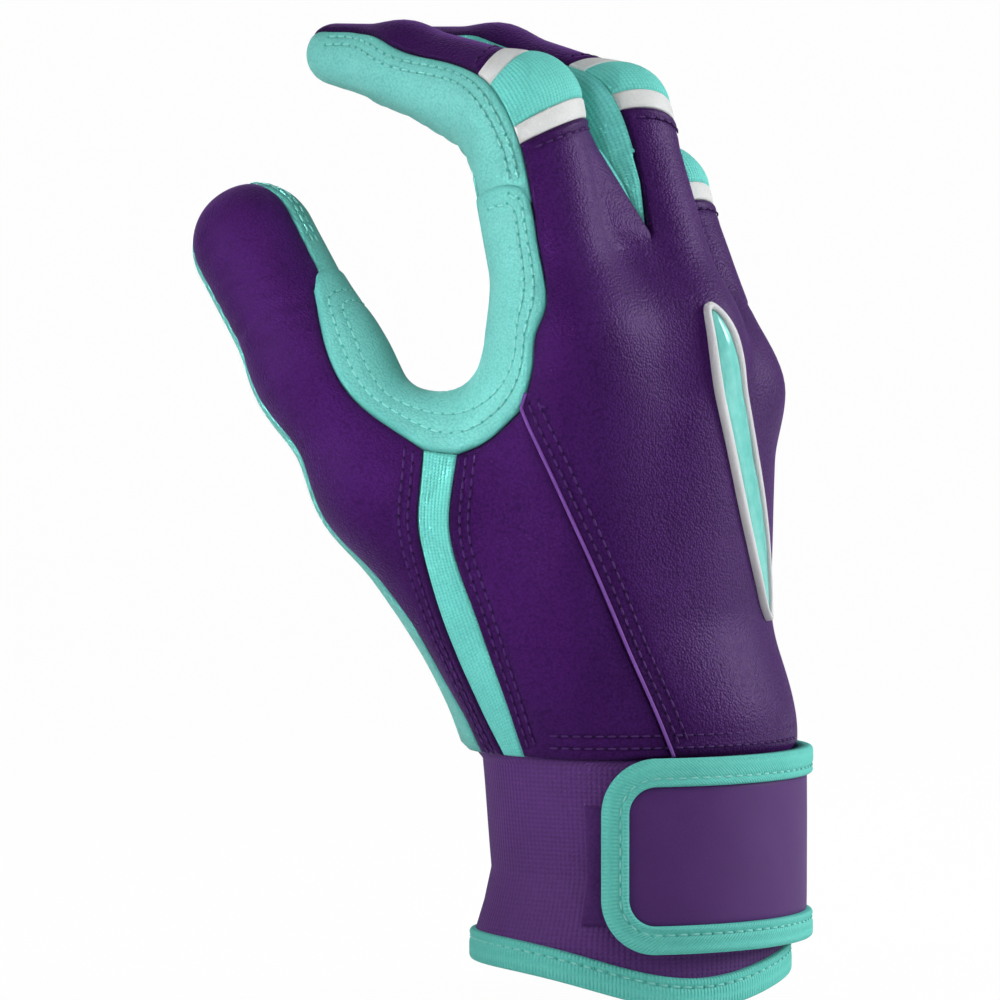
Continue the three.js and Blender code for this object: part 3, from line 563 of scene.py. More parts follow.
def sheep_leather(name, dark, mid, light, groove, lustre, rough, sheen):
    """Dyed sheepskin, drum-finished: a soft gloss over fine grain about 0.5 mm across, with faint creases.

    The gloss takes the leather's own colour, as an aniline finish does. Colour drifts by a few per
    cent over 12 mm and is paler on the grain's tops. Near a seam it is darkened with painted shade,
    most where a turned edge drops into the seam.
    """
    material, tree, shader = blank(name)
    place = add(tree, "TexCoord").outputs["Object"]
    drift = add(tree, "TexNoise", Vector=place, Scale=per_mm(12), Detail=4.0, Roughness=0.6)
    warp = add(tree, "TexNoise", Vector=place, Scale=per_mm(1.2), Detail=2.0)
    bent = add(tree, "Mix", VECTOR, i0=0.0004, i4=place, i5=warp.outputs["Color"]).outputs[1]
    cells = {"Vector": bent, "Scale": per_mm(0.5), "Smoothness": 0.5}
    grain = add(tree, "TexVoronoi", {"feature": "SMOOTH_F1"}, **cells).outputs["Distance"]
    wrinkles = {"Vector": place, "Scale": per_mm(1.5), "Detail": 4.0, "Roughness": 0.55, "Distortion": 0.5}
    crease = add(tree, "TexNoise", **wrinkles).outputs["Fac"]
    wide = add(tree, "MapRange", Value=drift.outputs["Fac"], To_Min=0.35, To_Max=0.65).outputs[0]
    tone = add(tree, "Math", TIMES_PLUS, i0=grain, i1=-0.5, i2=wide).outputs[0]
    lower = add(tree, "MapRange", Value=tone, From_Min=0.05, From_Max=0.32).outputs[0]
    upper = add(tree, "MapRange", Value=tone, From_Min=0.32, From_Max=0.6).outputs[0]
    leather_colour = add(tree, "Mix", COLOUR, i0=lower, i6=linear(dark), i7=linear(mid)).outputs[2]
    leather_colour = add(tree, "Mix", COLOUR, i0=upper, i6=leather_colour, i7=linear(light)).outputs[2]
    # Painted shade: near a sewn edge, and on the inner side, the colour is mixed towards the darker groove
    # colour
    seam = add(tree, "Attribute", {"attribute_name": "seam"}).outputs["Fac"]
    depth = add(tree, "Math", TIMES, i0=seam, i1=0.8).outputs[0]
    leather_colour = add(tree, "Mix", COLOUR, i0=depth, i6=leather_colour, i7=linear(groove)).outputs[2]
    gloss = add(tree, "MapRange", Value=crease, To_Min=rough - 0.06, To_Max=rough + 0.1).outputs[0]
    height = add(tree, "Math", TIMES_PLUS, i0=crease, i1=0.45, i2=grain).outputs[0]
    bump = add(tree, "Bump", Strength=0.8, Distance=-0.00014, Height=height).outputs[0]
    tree.links.new(leather_colour, shader.inputs["Base Color"])
    tree.links.new(gloss, shader.inputs["Roughness"])
    tree.links.new(bump, shader.inputs["Normal"])
    shader.inputs["Specular IOR Level"].default_value = 0.18
    shader.inputs["Specular Tint"].default_value = linear(lustre)
    shader.inputs["Sheen Weight"].default_value = sheen
    shader.inputs["Sheen Roughness"].default_value = 0.35
    shader.inputs["Sheen Tint"].default_value = linear(lustre)
    return material


def knit(name, dark, light, wale=0.8, course=0.62, depth=0.00022, rough=0.72):
    """Stretch knit: columns of small loops, a wale wide and a course high, in the piece's own weave in mm.

    A loop is a ridge down the wale crossed by a wave along it, bent to a V. Nylon yarn gives a soft sheen.
    """
    material, tree, shader = blank(name)
    weave = add(tree, "Attribute", {"attribute_name": "weave"}).outputs["Vector"]
    apart = add(tree, "SeparateXYZ", Vector=weave).outputs
    across = add(tree, "Math", TIMES, i0=apart[0], i1=np.pi / wale).outputs[0]
    ridge = add(tree, "Math", SINE, i0=across).outputs[0]
    ridge = add(tree, "Math", UPRIGHT, i0=ridge).outputs[0]
    down = add(tree, "Math", TIMES, i0=apart[1], i1=2 * np.pi / course).outputs[0]
    bent = add(tree, "Math", TIMES_PLUS, i0=ridge, i1=2.2, i2=down).outputs[0]
    loop = add(tree, "Math", SINE, i0=bent).outputs[0]
    height = add(tree, "Math", TIMES_PLUS, i0=loop, i1=0.3, i2=ridge).outputs[0]
    place = add(tree, "TexCoord").outputs["Object"]
    fuzz = add(tree, "TexNoise", Vector=place, Scale=per_mm(0.5), Detail=3.0).outputs["Fac"]
    drift = add(tree, "TexNoise", Vector=place, Scale=per_mm(9), Detail=3.0).outputs["Fac"]
    tone = add(tree, "Math", TIMES_PLUS, i0=height, i1=0.42, i2=fuzz).outputs[0]
    tone = add(tree, "Math", TIMES_PLUS, i0=drift, i1=0.5, i2=tone).outputs[0]
    part = add(tree, "MapRange", Value=tone, From_Min=0.55, From_Max=1.3).outputs[0]
    yarn = add(tree, "Mix", COLOUR, i0=part, i6=linear(dark), i7=linear(light)).outputs[2]
    relief = add(tree, "Math", TIMES_PLUS, i0=fuzz, i1=0.5, i2=height).outputs[0]
    bump = add(tree, "Bump", Strength=0.55, Distance=depth, Height=relief).outputs[0]
    tree.links.new(yarn, shader.inputs["Base Color"])
    tree.links.new(bump, shader.inputs["Normal"])
    shader.inputs["Roughness"].default_value = rough
    shader.inputs["Specular IOR Level"].default_value = 0.2
    shader.inputs["Sheen Weight"].default_value = 0.15
    shader.inputs["Sheen Roughness"].default_value = 0.4
    shader.inputs["Sheen Tint"].default_value = linear(light)
    return material


def plain(name, low, high, rough, grain, depth, sheen=0.0, coat=0.0):
    """A moulded, coated or spun finish: two near shades in a speckle of a grain in mm, with its relief."""
    material, tree, shader = blank(name)
    place = add(tree, "TexCoord").outputs["Object"]
    speck = add(tree, "TexNoise", Vector=place, Scale=per_mm(grain), Detail=4.0, Roughness=0.6).outputs["Fac"]
    wide = add(tree, "TexNoise", Vector=place, Scale=per_mm(7), Detail=2.0).outputs["Fac"]
    tone = add(tree, "Math", TIMES_PLUS, i0=wide, i1=0.6, i2=speck).outputs[0]
    part = add(tree, "MapRange", Value=tone, From_Min=0.5, From_Max=1.1).outputs[0]
    shade = add(tree, "Mix", COLOUR, i0=part, i6=linear(low), i7=linear(high)).outputs[2]
    gloss = add(tree, "MapRange", Value=speck, To_Min=rough - 0.05, To_Max=rough + 0.07).outputs[0]
    bump = add(tree, "Bump", Strength=0.4, Distance=depth, Height=speck).outputs[0]
    tree.links.new(shade, shader.inputs["Base Color"])
    tree.links.new(gloss, shader.inputs["Roughness"])
    tree.links.new(bump, shader.inputs["Normal"])
    shader.inputs["Specular IOR Level"].default_value = 0.15
    shader.inputs["Sheen Weight"].default_value = sheen
    shader.inputs["Sheen Tint"].default_value = linear(high)
    shader.inputs["Coat Weight"].default_value = coat
    shader.inputs["Coat Roughness"].default_value = 0.12
    return material


# Sheepskin: the purple has a soft gloss, the mint is more matt; the fourth colour is painted seam shade
PURPLE_LEATHER = sheep_leather(
    "purple_sheepskin", "#280f3a", "#331549", "#3f1c5a", "#180a22", "#9648d0", rough=0.42, sheen=0.3)
MINT_LEATHER = sheep_leather(
    "mint_sheepskin", "#5aa39c", "#69b2ab", "#77beb7", "#3d8a84", "#a8e6de", rough=0.55, sheen=0.1)
# Knits of the gussets, the cuff and the folded tapes
MINT_KNIT = knit("mint_stretch_knit", "#4aa69e", "#68c3ba")
CUFF_KNIT = knit("purple_ribbed_neoprene", "#401f57", "#512a6c", 1.1, 0.9, 0.00018, 0.65)
BINDING_KNIT = knit("mint_binding_tape", "#4aa79d", "#60bbb0", 0.75, 2.4, 0.0002, 0.75)
# Coated trims with an embossed grain, and the strap's smooth pressed face
GREY_TRIM = plain("grey_grained_trim", "#b2b4b4", "#c4c6c5", 0.55, 0.45, 0.00016)
STRAP_FACE = plain("purple_strap_face", "#42205a", "#492663", 0.5, 0.35, 0.00005)
# Moulded rubber of the badge's rim, and its clear-coated urethane plate
BADGE_RUBBER = plain("grey_moulded_rubber", "#b2b3b5", "#bfc0c2", 0.42, 0.4, 0.00005)
BADGE_GLOSS = plain("mint_glossy_urethane", "#58aea6", "#72c2ba", 0.22, 3.0, 0.00004, coat=0.5)
# Spun polyester thread, the painted shadow in its needle holes, and the cut leather edge: paler than
# the face as cut leather is, and painted paler still as the highlight on the raised fold
PURPLE_THREAD = plain("purple_polyester_thread", "#361a4b", "#4a2668", 0.6, 0.25, 0.00008)
MINT_THREAD = plain("mint_polyester_thread", "#6cb6ae", "#86cbc4", 0.6, 0.25, 0.00008)
PURPLE_HOLE_SHADE = plain("purple_needle_hole_shade", "#1c0a2c", "#240e38", 0.95, 0.4, 0.00005)
MINT_HOLE_SHADE = plain("mint_needle_hole_shade", "#43978f", "#4da198", 0.9, 0.4, 0.00005)
PURPLE_EDGE_HIGHLIGHT = plain("purple_cut_edge_and_painted_highlight", "#643a86", "#754999", 0.6, 0.4, 0.00005)
# Hook tape, a stubble of nylon, and loop tape, a soft brushed pile
HOOK_TAPE = plain("purple_hook_tape", "#281238", "#3c1d54", 0.7, 0.7, 0.0004, sheen=0.1)
LOOP_TAPE = plain("purple_loop_pile", "#351849", "#4b2866", 0.9, 0.6, 0.0004, sheen=0.4)


# Sewing lines shared by neighbouring panels, by height and angle about the hand's middle line

BACK_SEAM = np.array([
    [WRIST_Z, -43], [60, -57], [80, -70], [98, -80], [110, -86], [117.5, -83], [124, -82], [131, -80],
])
ULNAR_SEAM = np.array([
    [WRIST_Z, 95], [55, 97], [66, 98], [75, 98], [84, 98], [92, 98], [98, 97], [103, 95],
])
STRIP_RIGHT = np.array([[WRIST_Z, -92], [55, -97], [68, -100], [85, -103], [101, -101]])
STRIP_LEFT = np.array([[WRIST_Z, -100], [51, -106], [65, -108], [85, -107], [102, -106]])
back_seam = hand_point(*BACK_SEAM.T)
ulnar_seam = hand_point(*ULNAR_SEAM.T)
strip_right = hand_point(*STRIP_RIGHT.T)
strip_left = hand_point(*STRIP_LEFT.T)


def band_stations(name):
    """Stations of the bend band and its two trims, either side of the middle joint."""
    first, second = FINGERS[name]["lengths"][:2]
    return {
        "bend_start": 1 - BEND_HALF[name] / first,
        "trim_start": 1 - (TRIM_BELOW[name] + TRIM_WIDTH) / first,
        "flex_start": 1 - TRIM_BELOW[name] / first,
        "flex_end": 1 + TRIM_ABOVE / second,
        "trim_end": 1 + (TRIM_ABOVE + TRIM_WIDTH) / second,
        "bend_end": 1 + BEND_HALF[name] / second,
    }


BANDS = {name: band_stations(name) for name in NAMES}
ACROSS = gathered(32)


def crotch(first, second, edges):
    """Point where two neighbouring fingers part, between their seams, on the glove."""
    a = finger_point(first, CROTCH[first][1], edges[first][1])
    b = finger_point(second, CROTCH[second][0], edges[second][0])
    return settle(mix(a, b, PARTING[first])[None])[0]


def seam_angles(name, edges):
    """The two seam angles of a finger's back, or of its front going round by the palm."""
    low, high = edges[name]
    return (low, high - 360) if edges is FRONT_EDGE else (low, high)


def finger_base_row(edges):
    """Row across the four finger roots; near a parting it leans over to the point shared by both fingers."""
    row = []
    for n, name in enumerate(NAMES):
        low, high = seam_angles(name, edges)
        p = finger_point(name, mix(*CROTCH[name], ACROSS), mix(low, high, ACROSS))
        if n > 0:
            p = p + (row[-1][-1] - p[0]) * np.maximum(0, 1 - 4 * ACROSS)[:, None]
        if n < 3:
            shared = crotch(name, NAMES[n + 1], edges)
            p = p + (shared - p[-1]) * np.maximum(0, 4 * ACROSS - 3)[:, None]
        row.append(p)
    return row


def slanted(name, station, angle):
    """Station moved along the finger so that its trims slant: most at the two seams, none midway."""
    low, high = BACK_EDGE[name]
    first, second = FINGERS[name]["lengths"][:2]
    along = (station - 1) * np.where(np.asarray(station) < 1, first, second)
    along = along + BAND_SLANT[name] * (2 * np.asarray(angle) - low - high) / (high - low)
    return 1 + along / np.where(along < 0, first, second)


def tongue(name, edges, base, end, reach, count):
    """Finger part of the back or the palm: chart rows from the base row to a station, eased onto the base.

    The index finger's rows stay taut from its band to the parting; the others lie down on the glove.
    """
    low, high = seam_angles(name, edges)
    q = gathered(2 * count)[count:] * 2 - 1
    start = mix(*CROTCH[name], ACROSS)[None]
    p = finger_point(name, mix(start, end, q[:, None]), mix(low, high, ACROSS)[None])
    p = p + (base - p[0])[None] * np.maximum(0, 1 - reach * q)[:, None, None]
    if name != "index":
        p[1:-1] = settle(p[1:-1], rounds=2)
    return p


def rows_through(rows, count, corners=()):
    """Rows of guide points filled in between; the first and last stay, the others settle on the glove."""
    t = spread(0, len(rows) - 1, count)
    grid = curve(np.asarray(rows), t, corners)
    grid[1:-1] = settle(grid[1:-1], rounds=3)
    return grid


def net_sheet(net, along, across, corners=()):
    """Grid through a net of guide points, both ways, settled on the glove; denser at its edges."""
    net = np.asarray(net)
    grid = curve(net, gathered(along, 0.5) * (len(net) - 1), corners)
    grid = curve(np.moveaxis(grid, 1, 0), gathered(across) * (net.shape[1] - 1))
    return settle(np.moveaxis(grid, 0, 1), rounds=3)


# Bending bands: the stretch of each finger and of the thumb between the hand and its tip

def band_of(bodies, ends, starts, stops):
    """Two bodies and the stretch of the line between two ends inside every edge it starts or stops at."""
    a, b = ends
    ahead = unit(b - a)
    low = max(((p - a) @ ahead).max() for p in starts)
    high = min(((p - a) @ ahead).min() for p in stops)
    return {"bodies": bodies, "start": a + ahead * low, "end": a + ahead * high}


BEND = {}
for name in NAMES:
    band = BANDS[name]
    low, high = BACK_EDGE[name]
    rear_side, palm_side = spread(low, high, 8), spread(high, low + 360, 12)
    edge_rows = [
        [
            finger_point(name, band["bend_" + at], palm_side),
            finger_point(name, slanted(name, band["trim_" + at], rear_side), rear_side),
        ]
        for at in ("start", "end")
    ]
    ends = curve(FINGERS[name]["knots"], [band["bend_start"], band["bend_end"]])
    BEND[name] = band_of(("hand", name + "_tip"), ends, *edge_rows)
thumb_rings = [[thumb_point(station, spread(0, 360, 16))] for station in THUMB_BEND]
BEND["thumb"] = band_of(("hand", "thumb_tip"), curve(THUMB_KNOTS, THUMB_BEND), *thumb_rings)


# Panels of the hand

# Crotch patch: the angles of its edges on the thumb, then its back edge, crest and front edge, as lines
# from the thumb's bend to the index finger
PATCH_REAR, PATCH_FRONT = 68, 150
patch_end = BANDS["index"]["bend_start"] - 0.1
patch_back = np.vstack([
    thumb_point(THUMB_BEND[0], PATCH_REAR)[None], thumb_point([2.05, 1.7, 1.4], [50, 46, 55]),
    strip_left[4:], strip_right[4:], settle([[-5.8, -42.9, 103.4]]), back_seam[4:],
    finger_point("index", [CROTCH["index"][0], patch_end], BACK_EDGE["index"][0]),
])
patch_crest = np.vstack([
    thumb_point([THUMB_BEND[0], 2.05, 1.7, 1.4], [108, 105, 105, 108]),
    settle([[-22, -39, 113], [-17, -38, 114], [-11, -38, 115], [-8, -40, 117]]),
    finger_point("index", [0, 0.1, 0.2, CROTCH["index"][0], patch_end], [-112, -109, -107, -105, -104]),
])
patch_front = np.vstack([
    thumb_point([THUMB_BEND[0], 2.05, 1.7, 1.4, 1.15], [*3 * [PATCH_FRONT], 152, 155]),
    settle([[-22, -29, 106], [-18, -29, 110], [-15.5, -32, 115], [-13.5, -35, 120], [-12, -37, 126]]),
    finger_point("index", [0.24, CROTCH["index"][0], patch_end], [-139, *2 * [FRONT_EDGE["index"][0]]]),
])
patch_net = np.stack([patch_back, patch_crest, patch_front], 1)
patch_net[0] = thumb_point(PATCH_TOP, [76, 110, PATCH_FRONT])
patch = net_sheet(patch_net, 180, 44, (4, 5, 7, 11))


def round_ends(grid, thumb_reach, index_reach):
    """The grid drawn in at its ends by a quarter ellipse, more the further from its middle line.

    Each end has two reaches, shares of the grid's length, for the two sides of that line.
    """
    n, m = grid.shape[:2]
    x = spread(-1, 1, m - 1)
    bow = (1 - np.sqrt(1 - 0.97 * x**2)) * (n - 1)
    start, stop = (bow * np.where(x < 0, *reach) for reach in (thumb_reach, index_reach))
    at = mix(start[None], n - 1 - stop[None], np.linspace(0, 1, n)[:, None])
    low = np.clip(np.floor(at).astype(int), 0, n - 2)
    part = (at - low)[..., None]
    column = np.arange(m)[None]
    return grid[low, column] * (1 - part) + grid[low + 1, column] * part


patch = round_ends(patch, (0.065, 0.05), (0.13, 0.03))

# Side leather and knit strip, then the thumb's back and front up to its bend
side_middle = settle((strip_right + back_seam[:5]) / 2)
side_middle[4] = patch_back[6]
side = net_sheet(np.stack([strip_right, side_middle, back_seam[:5]], 1), 84, 40)
strip = net_sheet(np.stack([strip_left, strip_right], 1), 84, 12)

thumb_edge = np.vstack([
    hand_point(WRIST_Z, -111)[None],
    thumb_point([0.25, 0.52, 0.78, 1, 1.35, 1.7, 2.05, THUMB_BEND[0]], [-42, -37, *6 * [THUMB_OUTER]]),
])
thumb_inner = np.vstack([strip_left, patch_back[3::-1]])
thumb_middle = settle((thumb_inner + thumb_edge) / 2)
thumb_rear = net_sheet(np.stack([thumb_inner, thumb_middle, thumb_edge], 1), 120, 40, (4,))

BALL_TURNS = [-80, -125, -170]
thumb_root = np.vstack([thumb_edge[4:5], thumb_point([1.15, 1.2, 1.2], BALL_TURNS), patch_front[4:5]])
thumb_rows = [
    np.vstack([thumb_edge[5 + i:6 + i], thumb_point(s, BALL_TURNS), patch_front[3 - i:4 - i]])
    for i, s in enumerate([1.4, 1.7, 2.05, THUMB_BEND[0]])
]
thumb_palm = net_sheet(np.stack([thumb_root, *thumb_rows]), 60, 48)

# The thumb's back and front run on past the bend to the cap of the tip, and under the patch to its inner seam
CAP_START = 3.85
back_turns = mix(THUMB_OUTER, PATCH_REAR, gathered(40))
back_under = mix(PATCH_REAR, THUMB_INNER, gathered(12))
front_turns = mix(THUMB_OUTER, PATCH_FRONT - 360, gathered(48))
front_under = mix(PATCH_FRONT - 360, THUMB_INNER - 360, gathered(16))


def thumb_end(root_row, angles, extra):
    """Rows from the bend to the cap; the first is the root sheet's last row, eased onto the chart."""
    q = gathered(60, 0.4)
    turn = np.concatenate([angles, extra])
    p = thumb_point(mix(THUMB_BEND[0], CAP_START, q)[:, None], turn[None])
    base = p[0].copy()
    base[:len(angles)] = root_row
    return p + (base - p[0])[None] * np.maximum(0, 1 - 4 * q)[:, None, None]


under_rows = spread(2.0, THUMB_BEND[0], 10)[:, None]
under_back = thumb_point(under_rows, back_under[None])[:, ::-1]
under_front = thumb_point(under_rows, front_under[None])
thumb_back_end = thumb_end(thumb_rear[-1][::-1], back_turns, back_under[1:])[:, ::-1]
thumb_front_end = thumb_end(thumb_palm[-1], front_turns, front_under[1:])
cap_rows = mix(CAP_START, 4, spread(0, 1, 6))[:, None]
thumb_cap = thumb_point(cap_rows, np.concatenate([front_turns, front_under[1:]])[None])

columns = np.concatenate([n + ACROSS[:-1] for n in range(4)] + [[4]]) / 4


def one_row(parts):
    """The four finger rows as one, the points they share taken once."""
    return np.vstack([p[:-1] for p in parts] + [parts[-1][-1:]])


back_base = finger_base_row(BACK_EDGE)
back_rows = [
    hand_point(mix(a[0], b[0], columns), mix(a[1], b[1], columns)) for a, b in zip(BACK_SEAM, ULNAR_SEAM)
]
back_main = rows_through([*back_rows, one_row(back_base)], 104, (4,))
back_sheets = [back_main]
for name, base in zip(NAMES, back_base):
    end = slanted(name, BANDS[name]["trim_start"], mix(*BACK_EDGE[name], ACROSS))
    back_sheets.append(tongue(name, BACK_EDGE, base, end, 1.1, 40))

# Share of the palm's width, from the thumb, over which its rows are laid straight and settled
HOLLOW = 0.35
palm_base = finger_base_row(FRONT_EDGE)
palm_edge = np.vstack([thumb_edge[:4], thumb_root, patch_front[5:11]])


def turn_about(p):
    """Angle of a point about the hand's middle line, from the back by way of the little finger."""
    return np.degrees(np.arctan2(p[1] - HAND_MIDDLE[1], p[0] - HAND_MIDDLE[0])) % 360


palm_rows = []
for k, p in enumerate(palm_edge):
    far = settle(curve(ulnar_seam, [k * (len(ulnar_seam) - 1) / (len(palm_edge) - 1)]))[0]
    row = hand_point(mix(p[2], far[2], columns), mix(turn_about(p), turn_about(far), columns))
    if k >= 2:
        hollow = hand_point(mix(p[2], far[2], HOLLOW), mix(turn_about(p), turn_about(far), HOLLOW))
        near = settle(mix(p, hollow, (columns / HOLLOW)[:, None]))
        row = np.where((columns <= HOLLOW)[:, None], near, row)
    row[0], row[-1] = p, far
    palm_rows.append(row)
palm_main = rows_through([*palm_rows, one_row(palm_base)], 110, (4, 8))
palm_sheets = [palm_main] + [
    tongue(name, FRONT_EDGE, base, BANDS[name]["bend_start"], 3, 24) for name, base in zip(NAMES, palm_base)
]


def rounded(line):
    """The line with its corners eased: each point the mean of eleven neighbours."""
    total = np.vstack([np.zeros(3), np.cumsum(line, 0)])
    return (total[11:] - total[:-11]) / 11


def beside(line, toward, offsets):
    """Stitch rows at offsets from a seam line, on the side of the point they are to lie towards."""
    rows = sewn_lines(line, slope(line), offsets, np.asarray(toward) - line)
    return [settle(row, rounds=2) for row in rows]


# Twin rows of stitches, given by their distances from the seam
thumb_sewing = beside(curve(strip_left, spread(0.15, 4, 60)), thumb_middle[2], (2.0, 3.7))
side_sewing = beside(curve(strip_right, spread(0.1, 4, 60)), back_seam[2], (2.0, 3.7))
fold_sewing = beside(curve(back_seam, spread(0.1, 4.3, 60), (4,)), back_rows[2][60], (2.0, 4.0))
fold_foot = BACK_SEAM[0, 1]
wrist_lines = [hand_point(WRIST_Z, spread(a, b, 39)) for a, b in ((-83, fold_foot), (fold_foot, 30))]
side_hem, back_hem = (beside(line, [0, 0, 80], (2.2, 4.6)) for line in wrist_lines)
# The patch's rows follow its grid: back across its thumb end, along its back edge, and in at its index end
patch_sewing = []
for start, stop, inset, last in ((11, 6, 10, 10), (16, 10, 14, 16)):
    thumb_part, index_part = patch[start, inset:inset + 20][::-1], patch[-1 - stop, inset:inset + last]
    line = np.vstack([thumb_part, patch[start:-stop, inset], index_part])
    patch_sewing.append(settle(rounded(line), rounds=2))
thumb_rim_sewing = [
    thumb_point(spread(2.75, 3.7, 40), THUMB_INNER + np.degrees(inset / THUMB_RADII[2]))
    for inset in (2.0, 3.8)
]
# One row beside each finger's lower trim
HEM_INSET = 1.9
root_sewing = []
for name in NAMES:
    turn = spread(BACK_EDGE[name][0] + 12, BACK_EDGE[name][1] - 6, 24)
    row = slanted(name, BANDS[name]["trim_start"] - HEM_INSET / FINGERS[name]["lengths"][0], turn)
    root_sewing.append(settle(finger_point(name, row, turn), name, 1))

thumb_creases = [
    ((-50, -60, 134), (-0.5, 0, 0.85), 9, 4.2, 0.16),
    ((-38, -62, 118), (-0.5, 0, 0.85), 8, 6, 0.12),
]
patch_creases = [((-14, -40, 114), (0.8, -0.5, 0.2), 7, 2.4, 0.12)]
panel("back_leather", ("back_panel",), back_sheets, PURPLE_LEATHER, "hand",
      lift=0.35, puff=0.3, stitches=[*fold_sewing, *back_hem, *root_sewing])
panel("side_leather", ("side_panel",), [side], PURPLE_LEATHER, "hand",
      stitches=[*side_sewing, *side_hem])
panel("thumb_back_leather", ("thumb_back", "thumb_bend_back", "thumb_tip_back"),
      [thumb_rear, under_back, thumb_back_end], PURPLE_LEATHER, BEND["thumb"],
      puff=0.3, stitches=thumb_sewing, creases=thumb_creases)
panel("crotch_patch_leather", ("crotch_patch",), [patch], MINT_LEATHER, BEND["thumb"],
      lift=0.75, puff=0.3, roll=1.1, stitches=patch_sewing, creases=patch_creases)
panel("thumb_front_leather", ("thumb_front", "thumb_bend_front", "thumb_tip_front"),
      [thumb_palm, under_front, thumb_front_end, thumb_cap], MINT_LEATHER, BEND["thumb"],
      puff=0.2, stitches=thumb_rim_sewing)
panel("palm_leather", ("palm_panel",), palm_sheets, MINT_LEATHER, "hand", puff=0.2,
      flush=[sheet[-1] for sheet in palm_sheets[1:]])
stitching("back_stitches", [*fold_sewing, *root_sewing], PURPLE_THREAD, PURPLE_HOLE_SHADE, "hand", 0.5)
stitching("side_stitches", [*side_sewing, *thumb_sewing, *side_hem], PURPLE_THREAD, PURPLE_HOLE_SHADE, "hand", 0.05)
stitching("wrist_stitches", back_hem, PURPLE_THREAD, PURPLE_HOLE_SHADE, "hand", 0.4)
stitching("patch_stitches", patch_sewing, MINT_THREAD, MINT_HOLE_SHADE, BEND["thumb"], 0.9)
stitching("thumb_rim_stitches", thumb_rim_sewing, MINT_THREAD, MINT_HOLE_SHADE, BEND["thumb"], 0.15)


# Fingers and thumb tip

CLOTH_WALL, CLOTH_ROLL = 0.8, 0.6
# Finger sheets turn into the tip's cap at station 3, and the tip's back ends just short of its point
TIP_CAP, TIP_BACK_END = 3, 3.9


def weave_of(grid):
    """Cloth coordinates in mm on a grid: running length across its middle row and along its middle column."""
    n, m = grid.shape[:2]
    u, v = np.broadcast_arrays(running(grid[n // 2])[None], running(grid[:, m // 2])[:, None])
    return np.stack([u, v, np.zeros_like(u)], -1)


def cloth(name, node, sheets, body, puff, lift=0.0, only=None, flush=()):
    """A panel of mint knit: its sheets puffed between the seams, with the weave's own coordinates."""
    s = skin(sheets, only, flush=flush)
    p, margin = s["points"], s["margin"]
    rise = lift + puff * (1 - np.exp(-margin / 2.5)) - rolled(margin, CLOTH_ROLL) + 0.08 * lattice(p, 6, 5)
    points, triangles = shell(s, rise, CLOTH_WALL)
    weave = np.vstack([weave_of(g).reshape(-1, 3) for g in sheets])[s["first"]]
    marks = {"weave": np.vstack([weave, weave])}
    put(name, points, triangles, MINT_KNIT, body, (node,), marks, s["edges"])


def tip_edge(name, station):
    """Angles of the seams that bound a fingertip's back, which close in a little from the bend to the tip."""
    t = np.clip((station - 1.6) / 1.1, 0, 1)
    t = t * t * (3 - 2 * t)
    return [mix(a, b, t) for a, b in zip(BACK_EDGE[name], TIP_EDGE.get(name, BACK_EDGE[name]))]


def round_point(name, station, angle):
    """Point at an angle on a finger taken as a plain round tube, a little inside its leather."""
    knots, radii = FINGERS[name]["knots"], FINGERS[name]["radii"]
    station, angle = np.broadcast_arrays(np.asarray(station, float), np.asarray(angle, float))
    flat = station.ravel()
    centre = curve(knots, flat)
    outward = finger_point(name, np.full(flat.shape, 0.75), angle.ravel()) - curve(knots, [0.75])
    reach = np.interp(flat, np.arange(4), radii) - 0.35
    return (centre + unit(outward) * reach[:, None]).reshape(station.shape + (3,))


def bend_bands(name):
    """Two grey trims across the back of a finger's bend, and the knit between them."""
    band = BANDS[name]
    back = mix(*BACK_EDGE[name], gathered(34))[None]
    for part, start, end in (("lower", "trim_start", "flex_start"), ("upper", "flex_end", "trim_end")):
        rows = mix(band[start], band[end], gathered(12))[:, None]
        trim = finger_point(name, slanted(name, rows, back), back)
        panel(name + "_trim_" + part + "_band", (name + "_trim_" + part,), [trim],
              GREY_TRIM, BEND[name], lift=0.1, roll=0.5, only=name)
    rows = mix(band["flex_start"], band["flex_end"], gathered(22))[:, None]
    flex = finger_point(name, slanted(name, rows, back), back)
    cloth(name + "_flex_knit", name + "_flex_panel", [flex], BEND[name], 0.6, only=name)


def tip_back(name):
    """Purple back of a fingertip from the upper trim to the tip, with a row of stitches by the trim."""
    trim_end, tip = BANDS[name]["trim_end"], name + "_tip"
    run = mix(trim_end, TIP_BACK_END, gathered(48, 0.6))[:, None]
    low, high = tip_edge(name, run)
    turn = spread(low[0, 0] + 6, high[0, 0] - 6, 24)
    hem = slanted(name, trim_end + HEM_INSET / FINGERS[name]["lengths"][1], turn)
    hem_row = finger_point(name, hem, turn)
    turn = mix(low, high, gathered(34)[None])
    slant = slanted(name, trim_end, turn) - trim_end
    rows = run + slant * np.maximum(0, (2.6 - run) / (2.6 - trim_end))
    panel(name + "_tip_back_leather", (name + "_tip_back",), [finger_point(name, rows, turn)],
          PURPLE_LEATHER, tip, lift=0.2, only=name, stitches=[hem_row])
    stitching(name + "_tip_stitches", [hem_row], PURPLE_THREAD, PURPLE_HOLE_SHADE, tip, 0.25, only=name)


